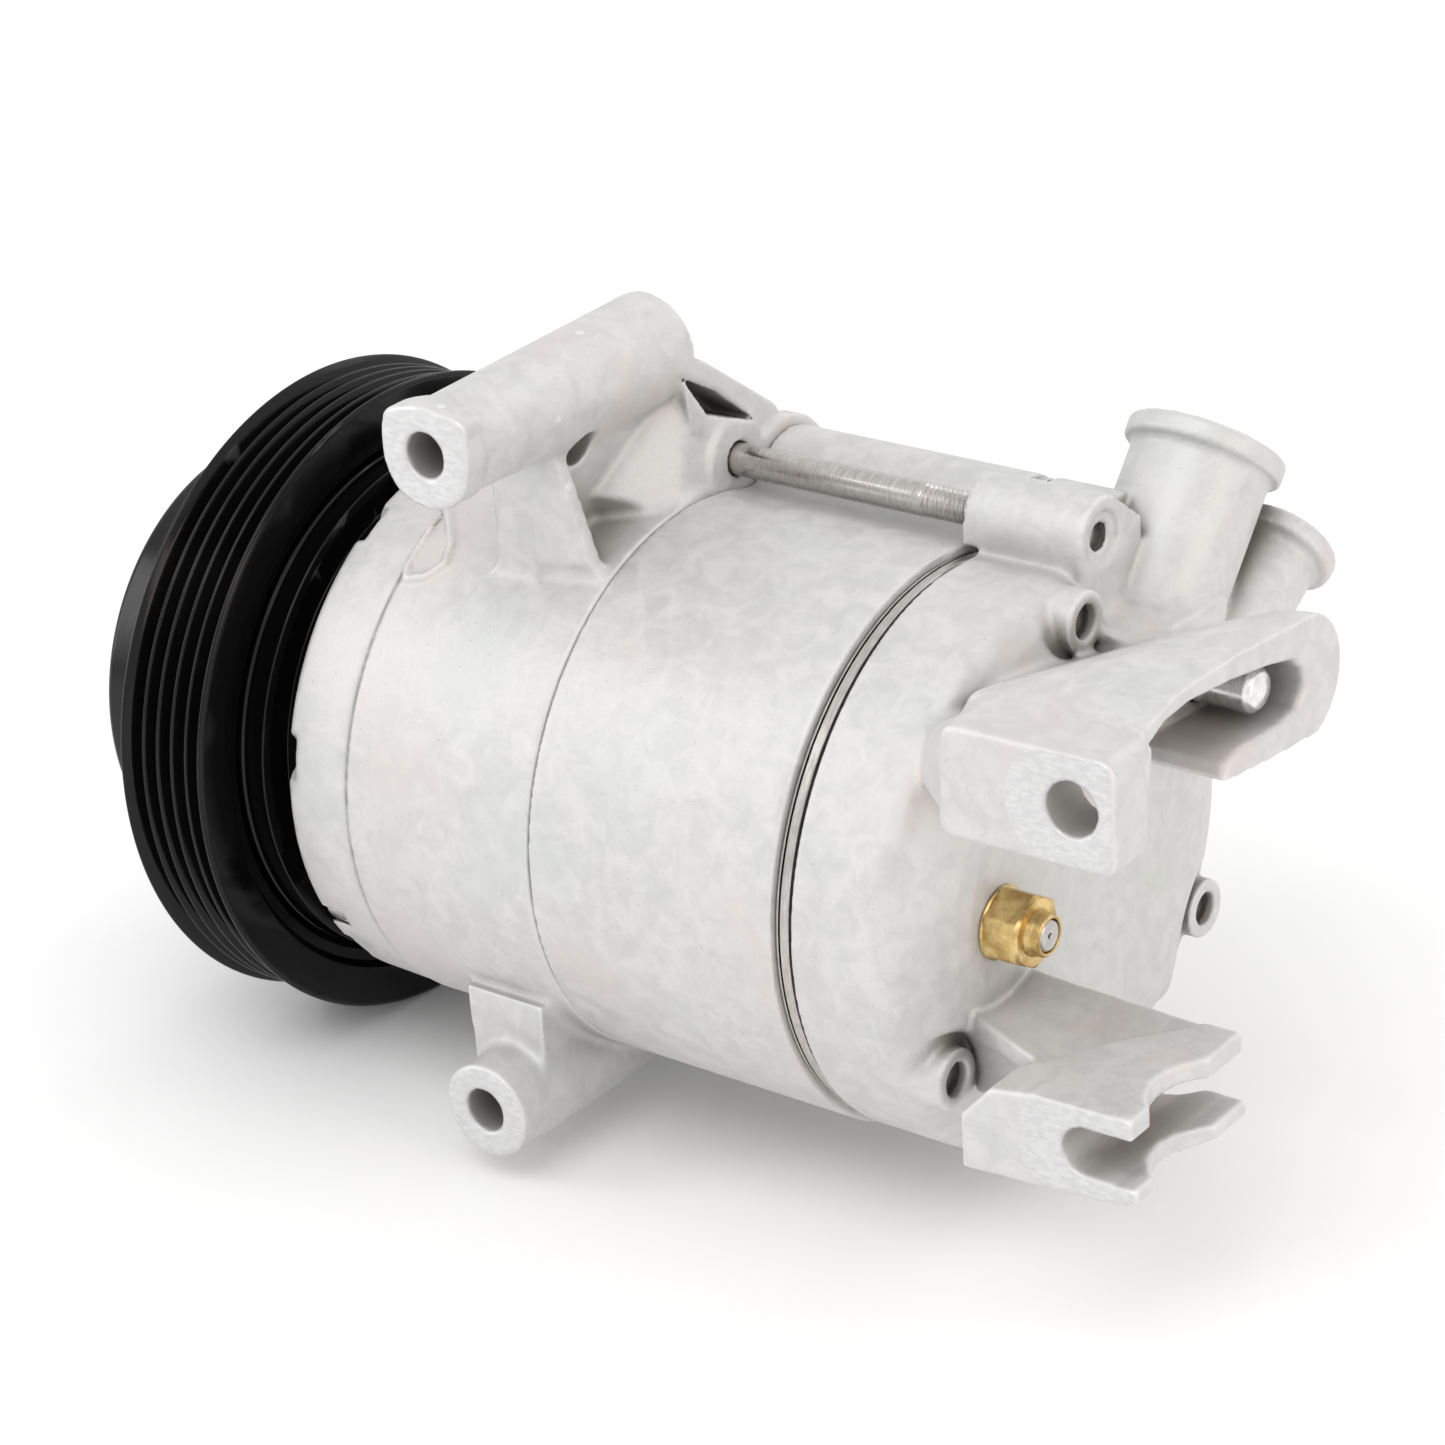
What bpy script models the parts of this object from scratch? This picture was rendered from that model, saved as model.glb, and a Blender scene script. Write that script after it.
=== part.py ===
"""Automotive air-conditioning compressor: variable swash plate, six pistons, belt pulley with clutch.

The shaft lies along X, +X runs to the rear head, -Y is the side with the machined mounting
faces, and +Z is up. Lengths below are millimetres, counted from the shaft axis at the middle
of the belt grooves. At the end the whole assembly is moved by UNDERSIDE_SHIFT, which puts the
origin in the middle of its underside.
"""

import math

import bmesh
import bpy
from mathutils import Matrix, Vector

MM = 0.001
GAP = 0.3
UNDERSIDE_SHIFT = (-84.4, -4.2, 62.5)

# Belt pulley
PULLEY_R = 62.5
PULLEY_HALF_WIDTH = 10.3
GROOVE_COUNT = 5
GROOVE_PITCH = 3.56
GROOVE_CREST_R = 61.4
GROOVE_BOTTOM_R = 58.4
FRICTION_FACE_X = -12.0
COIL_CAVITY_R = 51.2
SLEEVE_OUTER_R = 33.2
BEARING_OUTER_R = 27.5
BEARING_INNER_R = 17.5
BEARING_HALF_WIDTH = 9.0
AIR_GAP = 0.5
LEAD_R = 45.9
LEAD_DEG = 42.4

# Castings along the shaft
NOSE_X = 21.0
NOSE_STEP_X = 36.1
FRONT_SEAM_X = 79.0
BLOCK_DECK_X = 131.7
HEAD_FACE_X = 135.4
SHOULDER_X = 152.5
END_FACE_X = 162.0
CASE_R = 52.6
CASE_WALL_R = 49.3
HEAD_R = 51.9
END_FACE_R = 37.0
BOSS_FACE_X = 160.8
BOSS_R = 5.5

# Mounting points, (x, z) of axes that run along Y
MOUNT_FACE_Y = -56.0
FRONT_MOUNT_X = 66.8
REAR_MOUNT_X = 194.8
TOP_MOUNT_Z = 78.0
LOW_MOUNT_Z = -48.2
EAR_MOUNT_Z = 43.8
FORK_MOUNT_Z = -17.0
MOUNT_HOLE_R = 4.1
EAR_HOLE_R = 4.7
FORK_SLOT_R = 4.3

# Bolts
THROUGH_BOLT_CIRCLE_R = 46.0
THROUGH_BOLT_R = 3.5
THROUGH_BOLT_FIRST_DEG = 87.5
TIE_BOLT_Y = 14.7
TIE_BOLT_Z = 55.8
TIE_BOLT_R = 3.0

# Compressing parts
PISTON_COUNT = 6
BORE_CIRCLE_R = 33.4
BORE_R = 15.6
PISTON_R = BORE_R - GAP
FIRST_BORE_DEG = -3.0
SWASH_X = 64.0
SWASH_R = 41.0
SWASH_HALF_THICKNESS = 3.25
SHOE_SPHERE_R = 8.5
SHAFT_R = 7.0
ROTOR_X = 39.6
ROTOR_END_X = 49.0

# Ports, radial in the YZ plane
PORT_X = 154.8
PORT_DEG = 49.0
PORT_LIP_R = 14.5
PORT_NECK_R = 12.0
PORT_BORE_R = 8.6
PORT_TOP = 80.8
SIDE_PORT_X = 163.0
SIDE_PORT_DEG = 29.5
GALLERY_Y = 29.0
GALLERY_Z = 46.5
GALLERY_R = 10.8

# Plug in the hook-shaped pocket
POCKET_X = 186.0
PEG_Y = -3.0
PEG_Z = 43.6
PEG_R = 4.1

# Relief valve on the end face and control valve in the head
RELIEF_Y = -28.6
RELIEF_Z = 3.4
CONTROL_X = 145.6
CONTROL_Z = -37.5
CONTROL_R = 7.5

ROUND = 36
INNER_ROUND = 24
SMALL_ROUND = 20
TINY_ROUND = 10
SMOOTH_ANGLE = math.radians(32)
WELD = 2e-6

CAST = (0.78, 0.77, 0.75, 1.0)
MACHINED = (0.86, 0.86, 0.86, 1.0)
STEEL = (0.55, 0.55, 0.56, 1.0)
DARK_STEEL = (0.25, 0.25, 0.26, 1.0)
BLACK_PAINT = (0.012, 0.012, 0.013, 1.0)
RUBBER = (0.02, 0.02, 0.02, 1.0)
BRASS = (0.72, 0.52, 0.22, 1.0)
COPPER = (0.6, 0.3, 0.15, 1.0)
PLASTIC = (0.03, 0.03, 0.035, 1.0)

MATERIALS = {
    "cast_aluminium": (CAST, 0.5, 0.8),
    "machined_aluminium": (MACHINED, 0.3, 1.0),
    "bright_steel": (STEEL, 0.25, 1.0),
    "dark_steel": (DARK_STEEL, 0.4, 1.0),
    "black_paint": (BLACK_PAINT, 0.18, 0.0),
    "black_rubber": (RUBBER, 0.7, 0.0),
    "valve_brass": (BRASS, 0.3, 1.0),
    "copper_winding": (COPPER, 0.5, 0.6),
    "black_plastic": (PLASTIC, 0.45, 0.0),
}


def clear_scene():
    for obj in list(bpy.data.objects):
        bpy.data.objects.remove(obj)


def material(name):
    found = bpy.data.materials.get(name)
    if found:
        return found
    colour, roughness, metallic = MATERIALS[name]
    made = bpy.data.materials.new(name)
    made.use_nodes = True
    shader = made.node_tree.nodes["Principled BSDF"]
    shader.inputs["Base Color"].default_value = colour
    shader.inputs["Roughness"].default_value = roughness
    shader.inputs["Metallic"].default_value = metallic
    return made


def mesh_object(name, verts, faces):
    """An object from points in millimetres, with its faces turned outwards."""
    mesh = bpy.data.meshes.new(name)
    mesh.from_pydata([tuple(c * MM for c in v) for v in verts], [], faces)
    bm = bmesh.new()
    bm.from_mesh(mesh)
    bmesh.ops.recalc_face_normals(bm, faces=bm.faces)
    bm.to_mesh(mesh)
    bm.free()
    obj = bpy.data.objects.new(name, mesh)
    bpy.context.scene.collection.objects.link(obj)
    return obj


def axis_frame(origin, direction):
    """A matrix that takes local X to the direction and local zero to the origin."""
    turn = Vector((1, 0, 0)).rotation_difference(Vector(direction).normalized())
    return Matrix.Translation(Vector(origin)) @ turn.to_matrix().to_4x4()


def lathe(name, profile, origin=(0, 0, 0), direction=(1, 0, 0), segments=ROUND, phase=0.0):
    """A closed (along, radius) profile turned about the axis; radius 0 makes a pole."""
    frame = axis_frame(origin, direction)
    verts = []
    rings = []
    for along, radius in profile:
        count = 1 if radius < 1e-6 else segments
        rings.append(range(len(verts), len(verts) + count))
        for i in range(count):
            a = math.tau * (i + phase) / segments
            point = Vector((along, radius * math.cos(a), radius * math.sin(a)))
            verts.append(frame @ point)
    faces = []
    for k, ring in enumerate(rings):
        faces += ring_faces(ring, rings[(k + 1) % len(rings)], segments)
    return mesh_object(name, verts, faces)


def ring_faces(one, other, segments):
    """The faces between two rings, either of which may be a single pole."""
    if len(one) == 1 and len(other) == 1:
        return []
    faces = []
    for i in range(segments):
        j = (i + 1) % segments
        if len(one) == 1:
            faces.append((one[0], other[j], other[i]))
        elif len(other) == 1:
            faces.append((one[i], one[j], other[0]))
        else:
            faces.append((one[i], one[j], other[j], other[i]))
    return faces


def ring(name, inner, outer, low, high, segments=ROUND, **where):
    """A plain ring with square edges."""
    profile = [(low, inner), (low, outer), (high, outer), (high, inner)]
    return lathe(name, profile, segments=segments, **where)


def rod(name, radius, low, high, segments=SMALL_ROUND, **where):
    profile = [(low, 0), (low, radius), (high, radius), (high, 0)]
    return lathe(name, profile, segments=segments, **where)


def rod_y(name, radius, x, z, low, high, segments=SMALL_ROUND, far_radius=None):
    """A round bar along Y, which may taper to far_radius at its high end."""
    end = radius if far_radius is None else far_radius
    profile = [(low, 0), (low, radius), (high, end), (high, 0)]
    return lathe(name, profile, (x, 0, z), (0, 1, 0), segments)


def drill(name, radius, low, high, segments=SMALL_ROUND, **where):
    """A round cutter, turned so that its corners miss those of the body it is centred in."""
    return rod(name, radius, low, high, segments, phase=0.37, **where)


def drill_y(name, radius, x, z, low, high, segments=SMALL_ROUND):
    return drill(name, radius, low, high, segments, origin=(x, 0, z), direction=(0, 1, 0))


def prism(name, outline, low, high, axis="X"):
    """A flat outline pushed along an axis; the outline is given in the other two coordinates."""
    verts = []
    for end in (low, high):
        for u, v in outline:
            verts.append({"X": (end, u, v), "Y": (u, end, v), "Z": (u, v, end)}[axis])
    count = len(outline)
    faces = [tuple(range(count)), tuple(range(count, 2 * count))]
    for i in range(count):
        j = (i + 1) % count
        faces.append((i, j, j + count, i + count))
    return mesh_object(name, verts, faces)


def hull(name, points):
    """The smallest convex solid that holds all of the points."""
    bm = bmesh.new()
    for point in points:
        bm.verts.new(Vector(point) * MM)
    made = bmesh.ops.convex_hull(bm, input=bm.verts)
    bmesh.ops.delete(bm, geom=list(set(made["geom_interior"])), context="VERTS")
    mesh = bpy.data.meshes.new(name)
    bmesh.ops.recalc_face_normals(bm, faces=bm.faces)
    bm.to_mesh(mesh)
    bm.free()
    obj = bpy.data.objects.new(name, mesh)
    bpy.context.scene.collection.objects.link(obj)
    return obj


def box(name, low, high):
    outline = [(low[1], low[2]), (high[1], low[2]), (high[1], high[2]), (low[1], high[2])]
    return prism(name, outline, low[0], high[0])


def arc(centre, radius, start_deg, end_deg, steps):
    """Points on an arc, both ends included."""
    points = []
    for i in range(steps + 1):
        a = math.radians(start_deg + (end_deg - start_deg) * i / steps)
        points.append((centre[0] + radius * math.cos(a), centre[1] + radius * math.sin(a)))
    return points


def rounded(corners, radius, steps=3):
    """An outline whose corners are rounded by straight-sided arcs."""
    points = []
    count = len(corners)
    for i, corner in enumerate(corners):
        here = Vector(corner)
        before = (Vector(corners[i - 1]) - here).normalized()
        after = (Vector(corners[(i + 1) % count]) - here).normalized()
        half = before.angle(after) / 2
        reach = radius / math.tan(half)
        centre = here + (before + after).normalized() * (radius / math.sin(half))
        first = here + before * reach - centre
        last = here + after * reach - centre
        for k in range(steps + 1):
            blend = first.slerp(last, k / steps)
            points.append(tuple(centre + blend))
    return points


def polar(radius, degrees):
    """(y, z) at a radius and an angle from +Y towards +Z."""
    a = math.radians(degrees)
    return radius * math.cos(a), radius * math.sin(a)


def boolean(target, other, operation):
    """Joins or cuts in place and removes the other object."""
    modifier = target.modifiers.new("shape", "BOOLEAN")
    modifier.operation = operation
    modifier.solver = "EXACT"
    modifier.object = other
    bpy.context.view_layer.update()
    graph = bpy.context.evaluated_depsgraph_get()
    made = bpy.data.meshes.new_from_object(target.evaluated_get(graph))
    target.modifiers.clear()
    target.data = made
    bpy.data.objects.remove(other)


def join(target, *others):
    for other in others:
        boolean(target, other, "UNION")
    return target


def carve(target, *cutters):
    for cutter in cutters:
        boolean(target, cutter, "DIFFERENCE")
    return target


def clean(obj):
    """Merges points that fall together and drops edges inside flat faces."""
    bm = bmesh.new()
    bm.from_mesh(obj.data)
    bmesh.ops.remove_doubles(bm, verts=bm.verts, dist=WELD)
    bmesh.ops.dissolve_limit(bm, angle_limit=math.radians(0.4), verts=bm.verts, edges=bm.edges)
    bmesh.ops.recalc_face_normals(bm, faces=bm.faces)
    bm.to_mesh(obj.data)
    bm.free()


def finish(obj, name, slot, on_axis=None):
    """Names the piece, gives it its material and puts its origin on its joint's axis."""
    obj.name = name
    obj.data.name = name
    obj.data.materials.clear()
    obj.data.materials.append(material(slot))
    obj.data.polygons.foreach_set("use_smooth", [True] * len(obj.data.polygons))
    obj.data.set_sharp_from_angle(angle=SMOOTH_ANGLE)
    if on_axis is not None:
        origin = Vector(on_axis) * MM
        obj.data.transform(Matrix.Translation(-origin))
        obj.location = origin
    return obj


def bore_angles():
    return [FIRST_BORE_DEG + 360 / PISTON_COUNT * i for i in range(PISTON_COUNT)]


def bolt_angles():
    return [THROUGH_BOLT_FIRST_DEG + 120 * i for i in range(3)]


def bolt_holes(low, high):
    """Cutters for the three through bolts."""
    radius = THROUGH_BOLT_R + GAP
    cutters = []
    for degrees in bolt_angles():
        y, z = polar(THROUGH_BOLT_CIRCLE_R, degrees)
        cutters.append(drill("hole", radius, low, high, TINY_ROUND, origin=(0, y, z)))
    return cutters


# ---------------------------------------------------------------- castings


def front_shell():
    """The turned part of the front housing: thick nose and open crankcase."""
    profile = [
        (NOSE_X, 11.0), (NOSE_X, 49.8), (NOSE_X + 1.4, 51.9), (NOSE_STEP_X - 0.5, 52.3),
        (NOSE_STEP_X, 51.8), (NOSE_STEP_X + 0.6, CASE_R), (FRONT_SEAM_X + 2.0, CASE_R),
        (FRONT_SEAM_X + 2.0, CASE_WALL_R), (37.5, CASE_WALL_R), (36.0, 47.8), (36.0, 11.0),
    ]
    return lathe("front_housing", profile)


def bearing_neck():
    """The neck that carries the pulley bearing, with the coil's pilot behind it."""
    profile = [
        (-13.0, 14.0), (-13.0, 17.2), (-10.9, 17.2), (-10.9, 15.4), (-9.0, 15.4), (-9.0, 17.2),
        (9.4, 17.2), (9.4, 21.8), (12.4, 21.8), (12.4, 24.2), (14.1, 24.2), (14.1, 22.4),
        (15.9, 22.4), (15.9, 24.2), (NOSE_X + 1.0, 24.2), (NOSE_X + 1.0, 8.3), (4.5, 8.3), (4.5, 14.0),
    ]
    return lathe("neck", profile, segments=24)


def top_mount():
    """The long upper mounting tube, the web under it and the lug that takes the tie bolt."""
    tube = rod_y("tube", 9.0, FRONT_MOUNT_X, TOP_MOUNT_Z, MOUNT_FACE_Y, 6.0, 28, 10.4)
    cap = rod_y("cap", 10.4, FRONT_MOUNT_X, TOP_MOUNT_Z, 5.9, 9.6, 28, 6.8)
    web = hull("web", [
        (59, -32, 73), (71.8, -31, 73), (52.6, -21.5, 47), (70.6, -20.5, 47), (58, 6, 76),
        (73.6, 6, 76), (53, 16, 46), (72, 16, 46),
    ])
    gusset = hull("gusset", [
        (57.6, -27.5, 70.3), (61.5, -27.5, 70.3), (58, -17.6, 45.2), (76, -17.6, 45.2),
        (74.2, -21.8, 48.4), (60, -22.3, 47.3),
    ])
    lug = hull("lug", [
        (64, -12, 55.6), (64, 14, 76), (60, -12, 44.6), (78.6, -2, 50), (74, 6, 74.4),
        (76.5, 12, 67), (78.3, 20, 62.6), (78.3, 22, 44.6), (62, 22, 44.6), (70, -12.4, 56.2),
        (62, 6, 80.5),
    ])
    boss_at = (0, TIE_BOLT_Y, TIE_BOLT_Z)
    boss = rod("boss", 7.4, 57.0, 78.2, 20, origin=boss_at)
    gallery_at = (0, GALLERY_Y, GALLERY_Z)
    lobe = rod("lobe", GALLERY_R, 60.0, FRONT_SEAM_X + 1.0, 24, origin=gallery_at)
    lip = rod("lip", GALLERY_R + 1.8, 74.6, FRONT_SEAM_X + 1.5, 24, origin=gallery_at)
    mount = join(tube, cap, web, gusset, lug, boss, lobe, lip)
    pocket = prism("pocket", [(6.0, 74.5), (10.0, 66.5), (20.0, 63.6), (16.5, 70.5)], 69.5, 84.0)
    return carve(mount, pocket)


def low_mount():
    """The lower mounting tube and the block that carries it."""
    tube = rod_y("tube", 9.0, FRONT_MOUNT_X, LOW_MOUNT_Z, MOUNT_FACE_Y, -7.0, 28)
    side = [(57.2, -54.5), (72.6, -54.5), (73.4, -30), (56.0, -30)]
    block = prism("block", side, -46.0, -9.0, "Y")
    return join(tube, block)


def nose_recesses():
    """Shallow pockets round the front edge of the nose."""
    cutters = []
    for degrees in (117, 169, 221, 273, 325):
        y, z = polar(52.5, degrees)
        cutters.append(drill("recess", 4.2, NOSE_X - 2, NOSE_X + 2.6, TINY_ROUND, origin=(0, y, z)))
    return cutters


def build_front_housing():
    shell = front_shell()
    mounts = join(top_mount(), low_mount())
    inside = rod("inside", CASE_WALL_R + 0.8, 30.0, 90.0, ROUND)
    carve(mounts, inside)
    join(shell, bearing_neck(), mounts)
    carve(shell, box("trim", (FRONT_SEAM_X, -70, -70), (90, 70, 100)))
    carve(shell, ring("groove", 50.4, 52.0, FRONT_SEAM_X - 1.6, FRONT_SEAM_X + 2, phase=0.5))
    carve(shell, drill("bearing_bore", 12.0, 11.7, 40.0, 24))
    carve(shell, *nose_recesses())
    carve(shell, *bolt_holes(20.0, 84.0))
    for degrees in bolt_angles():
        y, z = polar(THROUGH_BOLT_CIRCLE_R, degrees)
        carve(shell, drill("seat", 6.0, 10.0, 27.5, 16, origin=(0, y, z)))
    carve(shell, drill_y("hole", MOUNT_HOLE_R, FRONT_MOUNT_X, TOP_MOUNT_Z, -60, 20, 20))
    carve(shell, drill_y("hole", MOUNT_HOLE_R, FRONT_MOUNT_X, LOW_MOUNT_Z, -60, 0, 20))
    carve(shell, drill("hole", 2.7, 50.0, 80.0, TINY_ROUND, origin=(0, -20.5, 68.0)))
    tie_at = (0, TIE_BOLT_Y, TIE_BOLT_Z)
    carve(shell, drill("hole", TIE_BOLT_R + GAP, 40.0, 90.0, 16, origin=tie_at))
    carve(shell, drill("seat", 6.2, 40.0, 56.9, 16, origin=tie_at))
    clean(shell)
    finish(shell, "front_housing", "cast_aluminium")


def build_cylinder_block():
    start = FRONT_SEAM_X + GAP
    profile = [
        (start, CASE_WALL_R), (start, CASE_R), (BLOCK_DECK_X, CASE_R), (BLOCK_DECK_X, 0),
        (112.0, 0), (112.0, 12.0), (86.0, 12.0), (86.0, CASE_WALL_R),
    ]
    block = lathe("cylinder_block", profile)
    gallery_at = (0, GALLERY_Y, GALLERY_Z)
    gallery = rod("gallery", GALLERY_R, start, BLOCK_DECK_X, 28, origin=gallery_at)
    carve(gallery, drill("inside", CASE_WALL_R + 0.8, 70.0, 87.0, ROUND))
    join(block, gallery)
    cutters = []
    for degrees in bore_angles():
        y, z = polar(BORE_CIRCLE_R, degrees)
        cutters.append(drill("bore", BORE_R, 80.0, 140.0, 24, origin=(0, y, z)))
    cutters += bolt_holes(70.0, 140.0)
    cutters.append(drill("passage", 2.2, 126.0, 140.0, TINY_ROUND, origin=(0, 31.0, 50.5)))
    carve(block, *cutters)
    clean(block)
    finish(block, "cylinder_block", "cast_aluminium")


def radial_body(name, profile, x, degrees, segments=28):
    """A round body that stands on the shaft axis and points outwards at an angle in YZ."""
    y, z = polar(1.0, degrees)
    return lathe(name, profile, (x, 0, 0), (0, y, z), segments)


def large_port():
    profile = [
        (32, 0), (32, 14.8), (52, 14.0), (62, PORT_NECK_R), (74.5, PORT_NECK_R),
        (76.6, PORT_LIP_R), (PORT_TOP, PORT_LIP_R), (PORT_TOP, 0),
    ]
    return radial_body("port", profile, PORT_X, PORT_DEG)


def side_port():
    profile = [(32, 0), (32, 10.6), (56, 9.0), (70, 8.6), (71.6, 10.6), (75.5, 10.6), (75.5, 0)]
    return radial_body("side_port", profile, SIDE_PORT_X, SIDE_PORT_DEG)


def hook_outline():
    """The (y, z) outline of the box-shaped rib with a rounded far end."""
    top = [(-46.0, 52.4), (-41.0, 54.4), (-35.0, 55.9), (-27.0, 56.0), (-10.0, 55.2)]
    far_end = arc((5.6, 42.6), 11.4, 70, -70, 7)
    bottom = [(-5.6, 33.2), (-18.4, 34.8), (-30.0, 34.2), (-46.0, 34.2)]
    return top + far_end + bottom


def hook_ramp(x, y):
    """Height of the sloping surface that runs from the end face up to the rib's flat top."""
    return 53.7 + 0.437 * (x - 170) - 0.207 * (y + 46)


def hook_block():
    """The rib that carries the rear ear and curls round a pocket that opens to the rear."""
    body = prism("hook", hook_outline(), 158.0, 200.8)
    carve(body, box("corner", (150.0, -60.0, 20.0), (169.0, -31.0, 60.0)))
    ramp = [(x, y, hook_ramp(x, y)) for x, y in ((150, -60), (215, -60), (150, 30), (215, 30))]
    carve(body, hull("ramp", ramp + [(x, y, 80) for x, y, _ in ramp]))
    ear_side = [(170.0, 33.6), (187.0, 33.4), (202.7, 33.4), (202.7, 53.4), (171.0, 53.0)]
    ear = prism("ear", rounded(ear_side, 2.2, 2), MOUNT_FACE_Y, -44.5, "Y")
    root = hull("root", [
        (171, -55, 35), (171, -55, 52), (174, -40, 34.6), (174, -40, 52), (152, -37, 31),
        (152, -32, 39), (160, -24, 31), (172, -20, 45),
    ])
    return join(body, ear, root)


def hook_pocket():
    """The cutters for the pocket: its mouth, and the deeper part that opens down beside the ear."""
    mouth = [
        (-44.2, 31.0), (-44.2, 46.4), (-42.7, 50.0), (-37.6, 52.3), (-30.0, 52.9), (-17.1, 51.5),
        (-5.1, 49.4), (2.0, 47.6), (5.4, 44.6), (5.8, 41.4), (3.4, 38.9), (-1.9, 38.0),
        (-15.5, 39.1), (-19.5, 38.6), (-23.0, 31.0),
    ]
    deep = [
        (-24.5, 30.0), (-44.0, 30.0), (-44.0, 44.0), (-42.0, 47.8), (-37.0, 49.9), (-30.0, 49.4),
        (-20.0, 46.8), (-12.0, 43.8), (-16.0, 40.3), (-21.0, 36.5),
    ]
    return prism("pocket", mouth, POCKET_X, 204.0), prism("deep", deep, 176.0, 204.0)


def fork_outline():
    """The (x, z) outline of the lower lug seen from the mounting side."""
    return [
        (171.6, -15.5), (184.0, -9.4), (203.4, -8.7), (204.4, -8.7), (204.4, -12.6),
        (201.0, -12.6), (201.0, -21.4), (205.4, -20.8), (205.4, -23.8), (202.6, -25.0),
        (171.6, -27.0),
    ]


def fork_lug():
    """The lower slotted lug with its waist, and the ridge and root that tie it to the end face."""
    lug = prism("lug", fork_outline(), MOUNT_FACE_Y, -21.5, "Y")
    ridge = hull("ridge", [
        (157, -38.6, -4.6), (191, -50, -6.5), (203, -55.8, -8.8), (203.4, -22, -9.6),
        (157, -19, -5.5), (157, -38.6, -20), (172, -55.8, -16), (184, -55.8, -9.8),
        (203, -55.8, -12.2),
        (157, -19, -20), (203.4, -22, -12.2),
    ])
    root = hull("root", [
        (157, -40, -12), (172, -50, -16.5), (157, -34, -26), (173, -50, -26.5),
        (157, -16, -26), (173, -21.5, -26), (157, -20, -6), (173, -21.5, -10),
    ])
    join(lug, ridge, root)
    waist_at = (212.5, -41.0, 0)
    waist = rod("waist", 12.0, -30.0, 0.0, 20, origin=waist_at, direction=(0, 0, 1))
    y, z = polar(THROUGH_BOLT_CIRCLE_R, bolt_angles()[1])
    clearance = rod("clearance", BOSS_R + 1.6, 150.0, 176.0, 20, origin=(0, y, z), phase=0.1)
    return carve(lug, waist, clearance)


def head_shell():
    profile = [
        (HEAD_FACE_X - 2.0, 0), (HEAD_FACE_X - 2.0, HEAD_R), (SHOULDER_X, HEAD_R), (155.7, 50.2),
        (158.2, 47.2), (160.0, 44.0), (161.2, 41.0), (END_FACE_X, END_FACE_R), (END_FACE_X, 0),
    ]
    return lathe("rear_head", profile)


def head_bosses():
    bosses = []
    for degrees in bolt_angles():
        y, z = polar(THROUGH_BOLT_CIRCLE_R, degrees)
        bosses.append(rod("boss", BOSS_R, 145.0, BOSS_FACE_X, 20, origin=(0, y, z)))
    tie_outline = [(7.3, 44)] + arc((TIE_BOLT_Y, TIE_BOLT_Z), 7.4, 180, 60, 5) + [(27.0, 55.5), (27.0, 40)]
    bosses.append(prism("tie_boss", tie_outline, HEAD_FACE_X - 1.0, 156.2))
    gallery_at = (0, GALLERY_Y, GALLERY_Z)
    bosses.append(rod("gallery", GALLERY_R, HEAD_FACE_X - 1.5, 150.0, 24, origin=gallery_at))
    bosses.append(rod_y("valve_boss", CONTROL_R + 2.1, CONTROL_X, CONTROL_Z, -6.0, 36.0, 22))
    return bosses


def tie_end():
    """The part of the tie bolt's boss that overhangs the plates in front of the head."""
    outline = [(7.5, 52.3)] + arc((TIE_BOLT_Y, TIE_BOLT_Z), 7.2, 180, 0, 7) + [(20.4, 53.7), (19.5, 52.4)]
    return prism("tie_end", outline, HEAD_FACE_X - 3.2, 145.0)


def suction_chamber():
    """A ring-shaped pocket round the discharge chamber."""
    return ring("suction", 30.5, 43.2 - 1.4, HEAD_FACE_X - 5, 144.0)


def build_rear_head():
    head = head_shell()
    join(head, *head_bosses())
    carve(head, box("trim", (120, -70, -70), (HEAD_FACE_X, 80, 90)))
    join(head, tie_end())
    join(head, hook_block(), fork_lug(), large_port(), side_port())
    carve(head, *hook_pocket())
    carve(head, suction_chamber(), drill("discharge", 27.0, 120.0, 144.0, 36))
    carve(head, port_bore(PORT_X, PORT_DEG, PORT_BORE_R, 40.0, 90.0))
    carve(head, port_bore(SIDE_PORT_X, SIDE_PORT_DEG, 5.6, 38.0, 90.0))
    carve(head, *port_passages())
    carve(head, *bolt_holes(120.0, 163.6))
    carve(head, drill_y("hole", EAR_HOLE_R, REAR_MOUNT_X, EAR_MOUNT_Z, -60, -40, 20))
    slot = prism("slot", fork_slot(), -60, -18, "Y")
    carve(head, slot)
    relief_at = (0, RELIEF_Y, RELIEF_Z)
    carve(head, drill("hole", 4.8, 148.0, 170.0, 16, origin=relief_at))
    carve(head, drill_y("hole", CONTROL_R + GAP, CONTROL_X, CONTROL_Z, -3.0, 50.0, 18))
    carve(head, peg_cutter())
    tie_at = (0, TIE_BOLT_Y, TIE_BOLT_Z)
    carve(head, drill("hole", TIE_BOLT_R + GAP, 120.0, 170.0, 16, origin=tie_at))
    carve(head, drill("recess", 4.7, 154.4, 170.0, 16, origin=tie_at))
    clean(head)
    finish(head, "rear_head", "cast_aluminium")


def port_passages():
    """Holes from the suction ring to the large port and from the discharge chamber to the small one."""
    y, z = polar(37.4, PORT_DEG)
    suction = rod("passage", 3.6, 141.0, 152.0, 12, origin=(0, y, z))
    carve_to = rod("passage_end", 3.2, 0.0, 8.0, 12, origin=(150.6, y, z), direction=(0.3, y, z))
    y, z = polar(1.0, SIDE_PORT_DEG)
    start = Vector((139.0, 21.6 * y, 21.6 * z))
    end = Vector((SIDE_PORT_X, 41.0 * y, 41.0 * z))
    discharge = rod("outlet", 2.6, 0.0, (end - start).length, 12, origin=start, direction=end - start)
    return [suction, carve_to, discharge]


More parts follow.
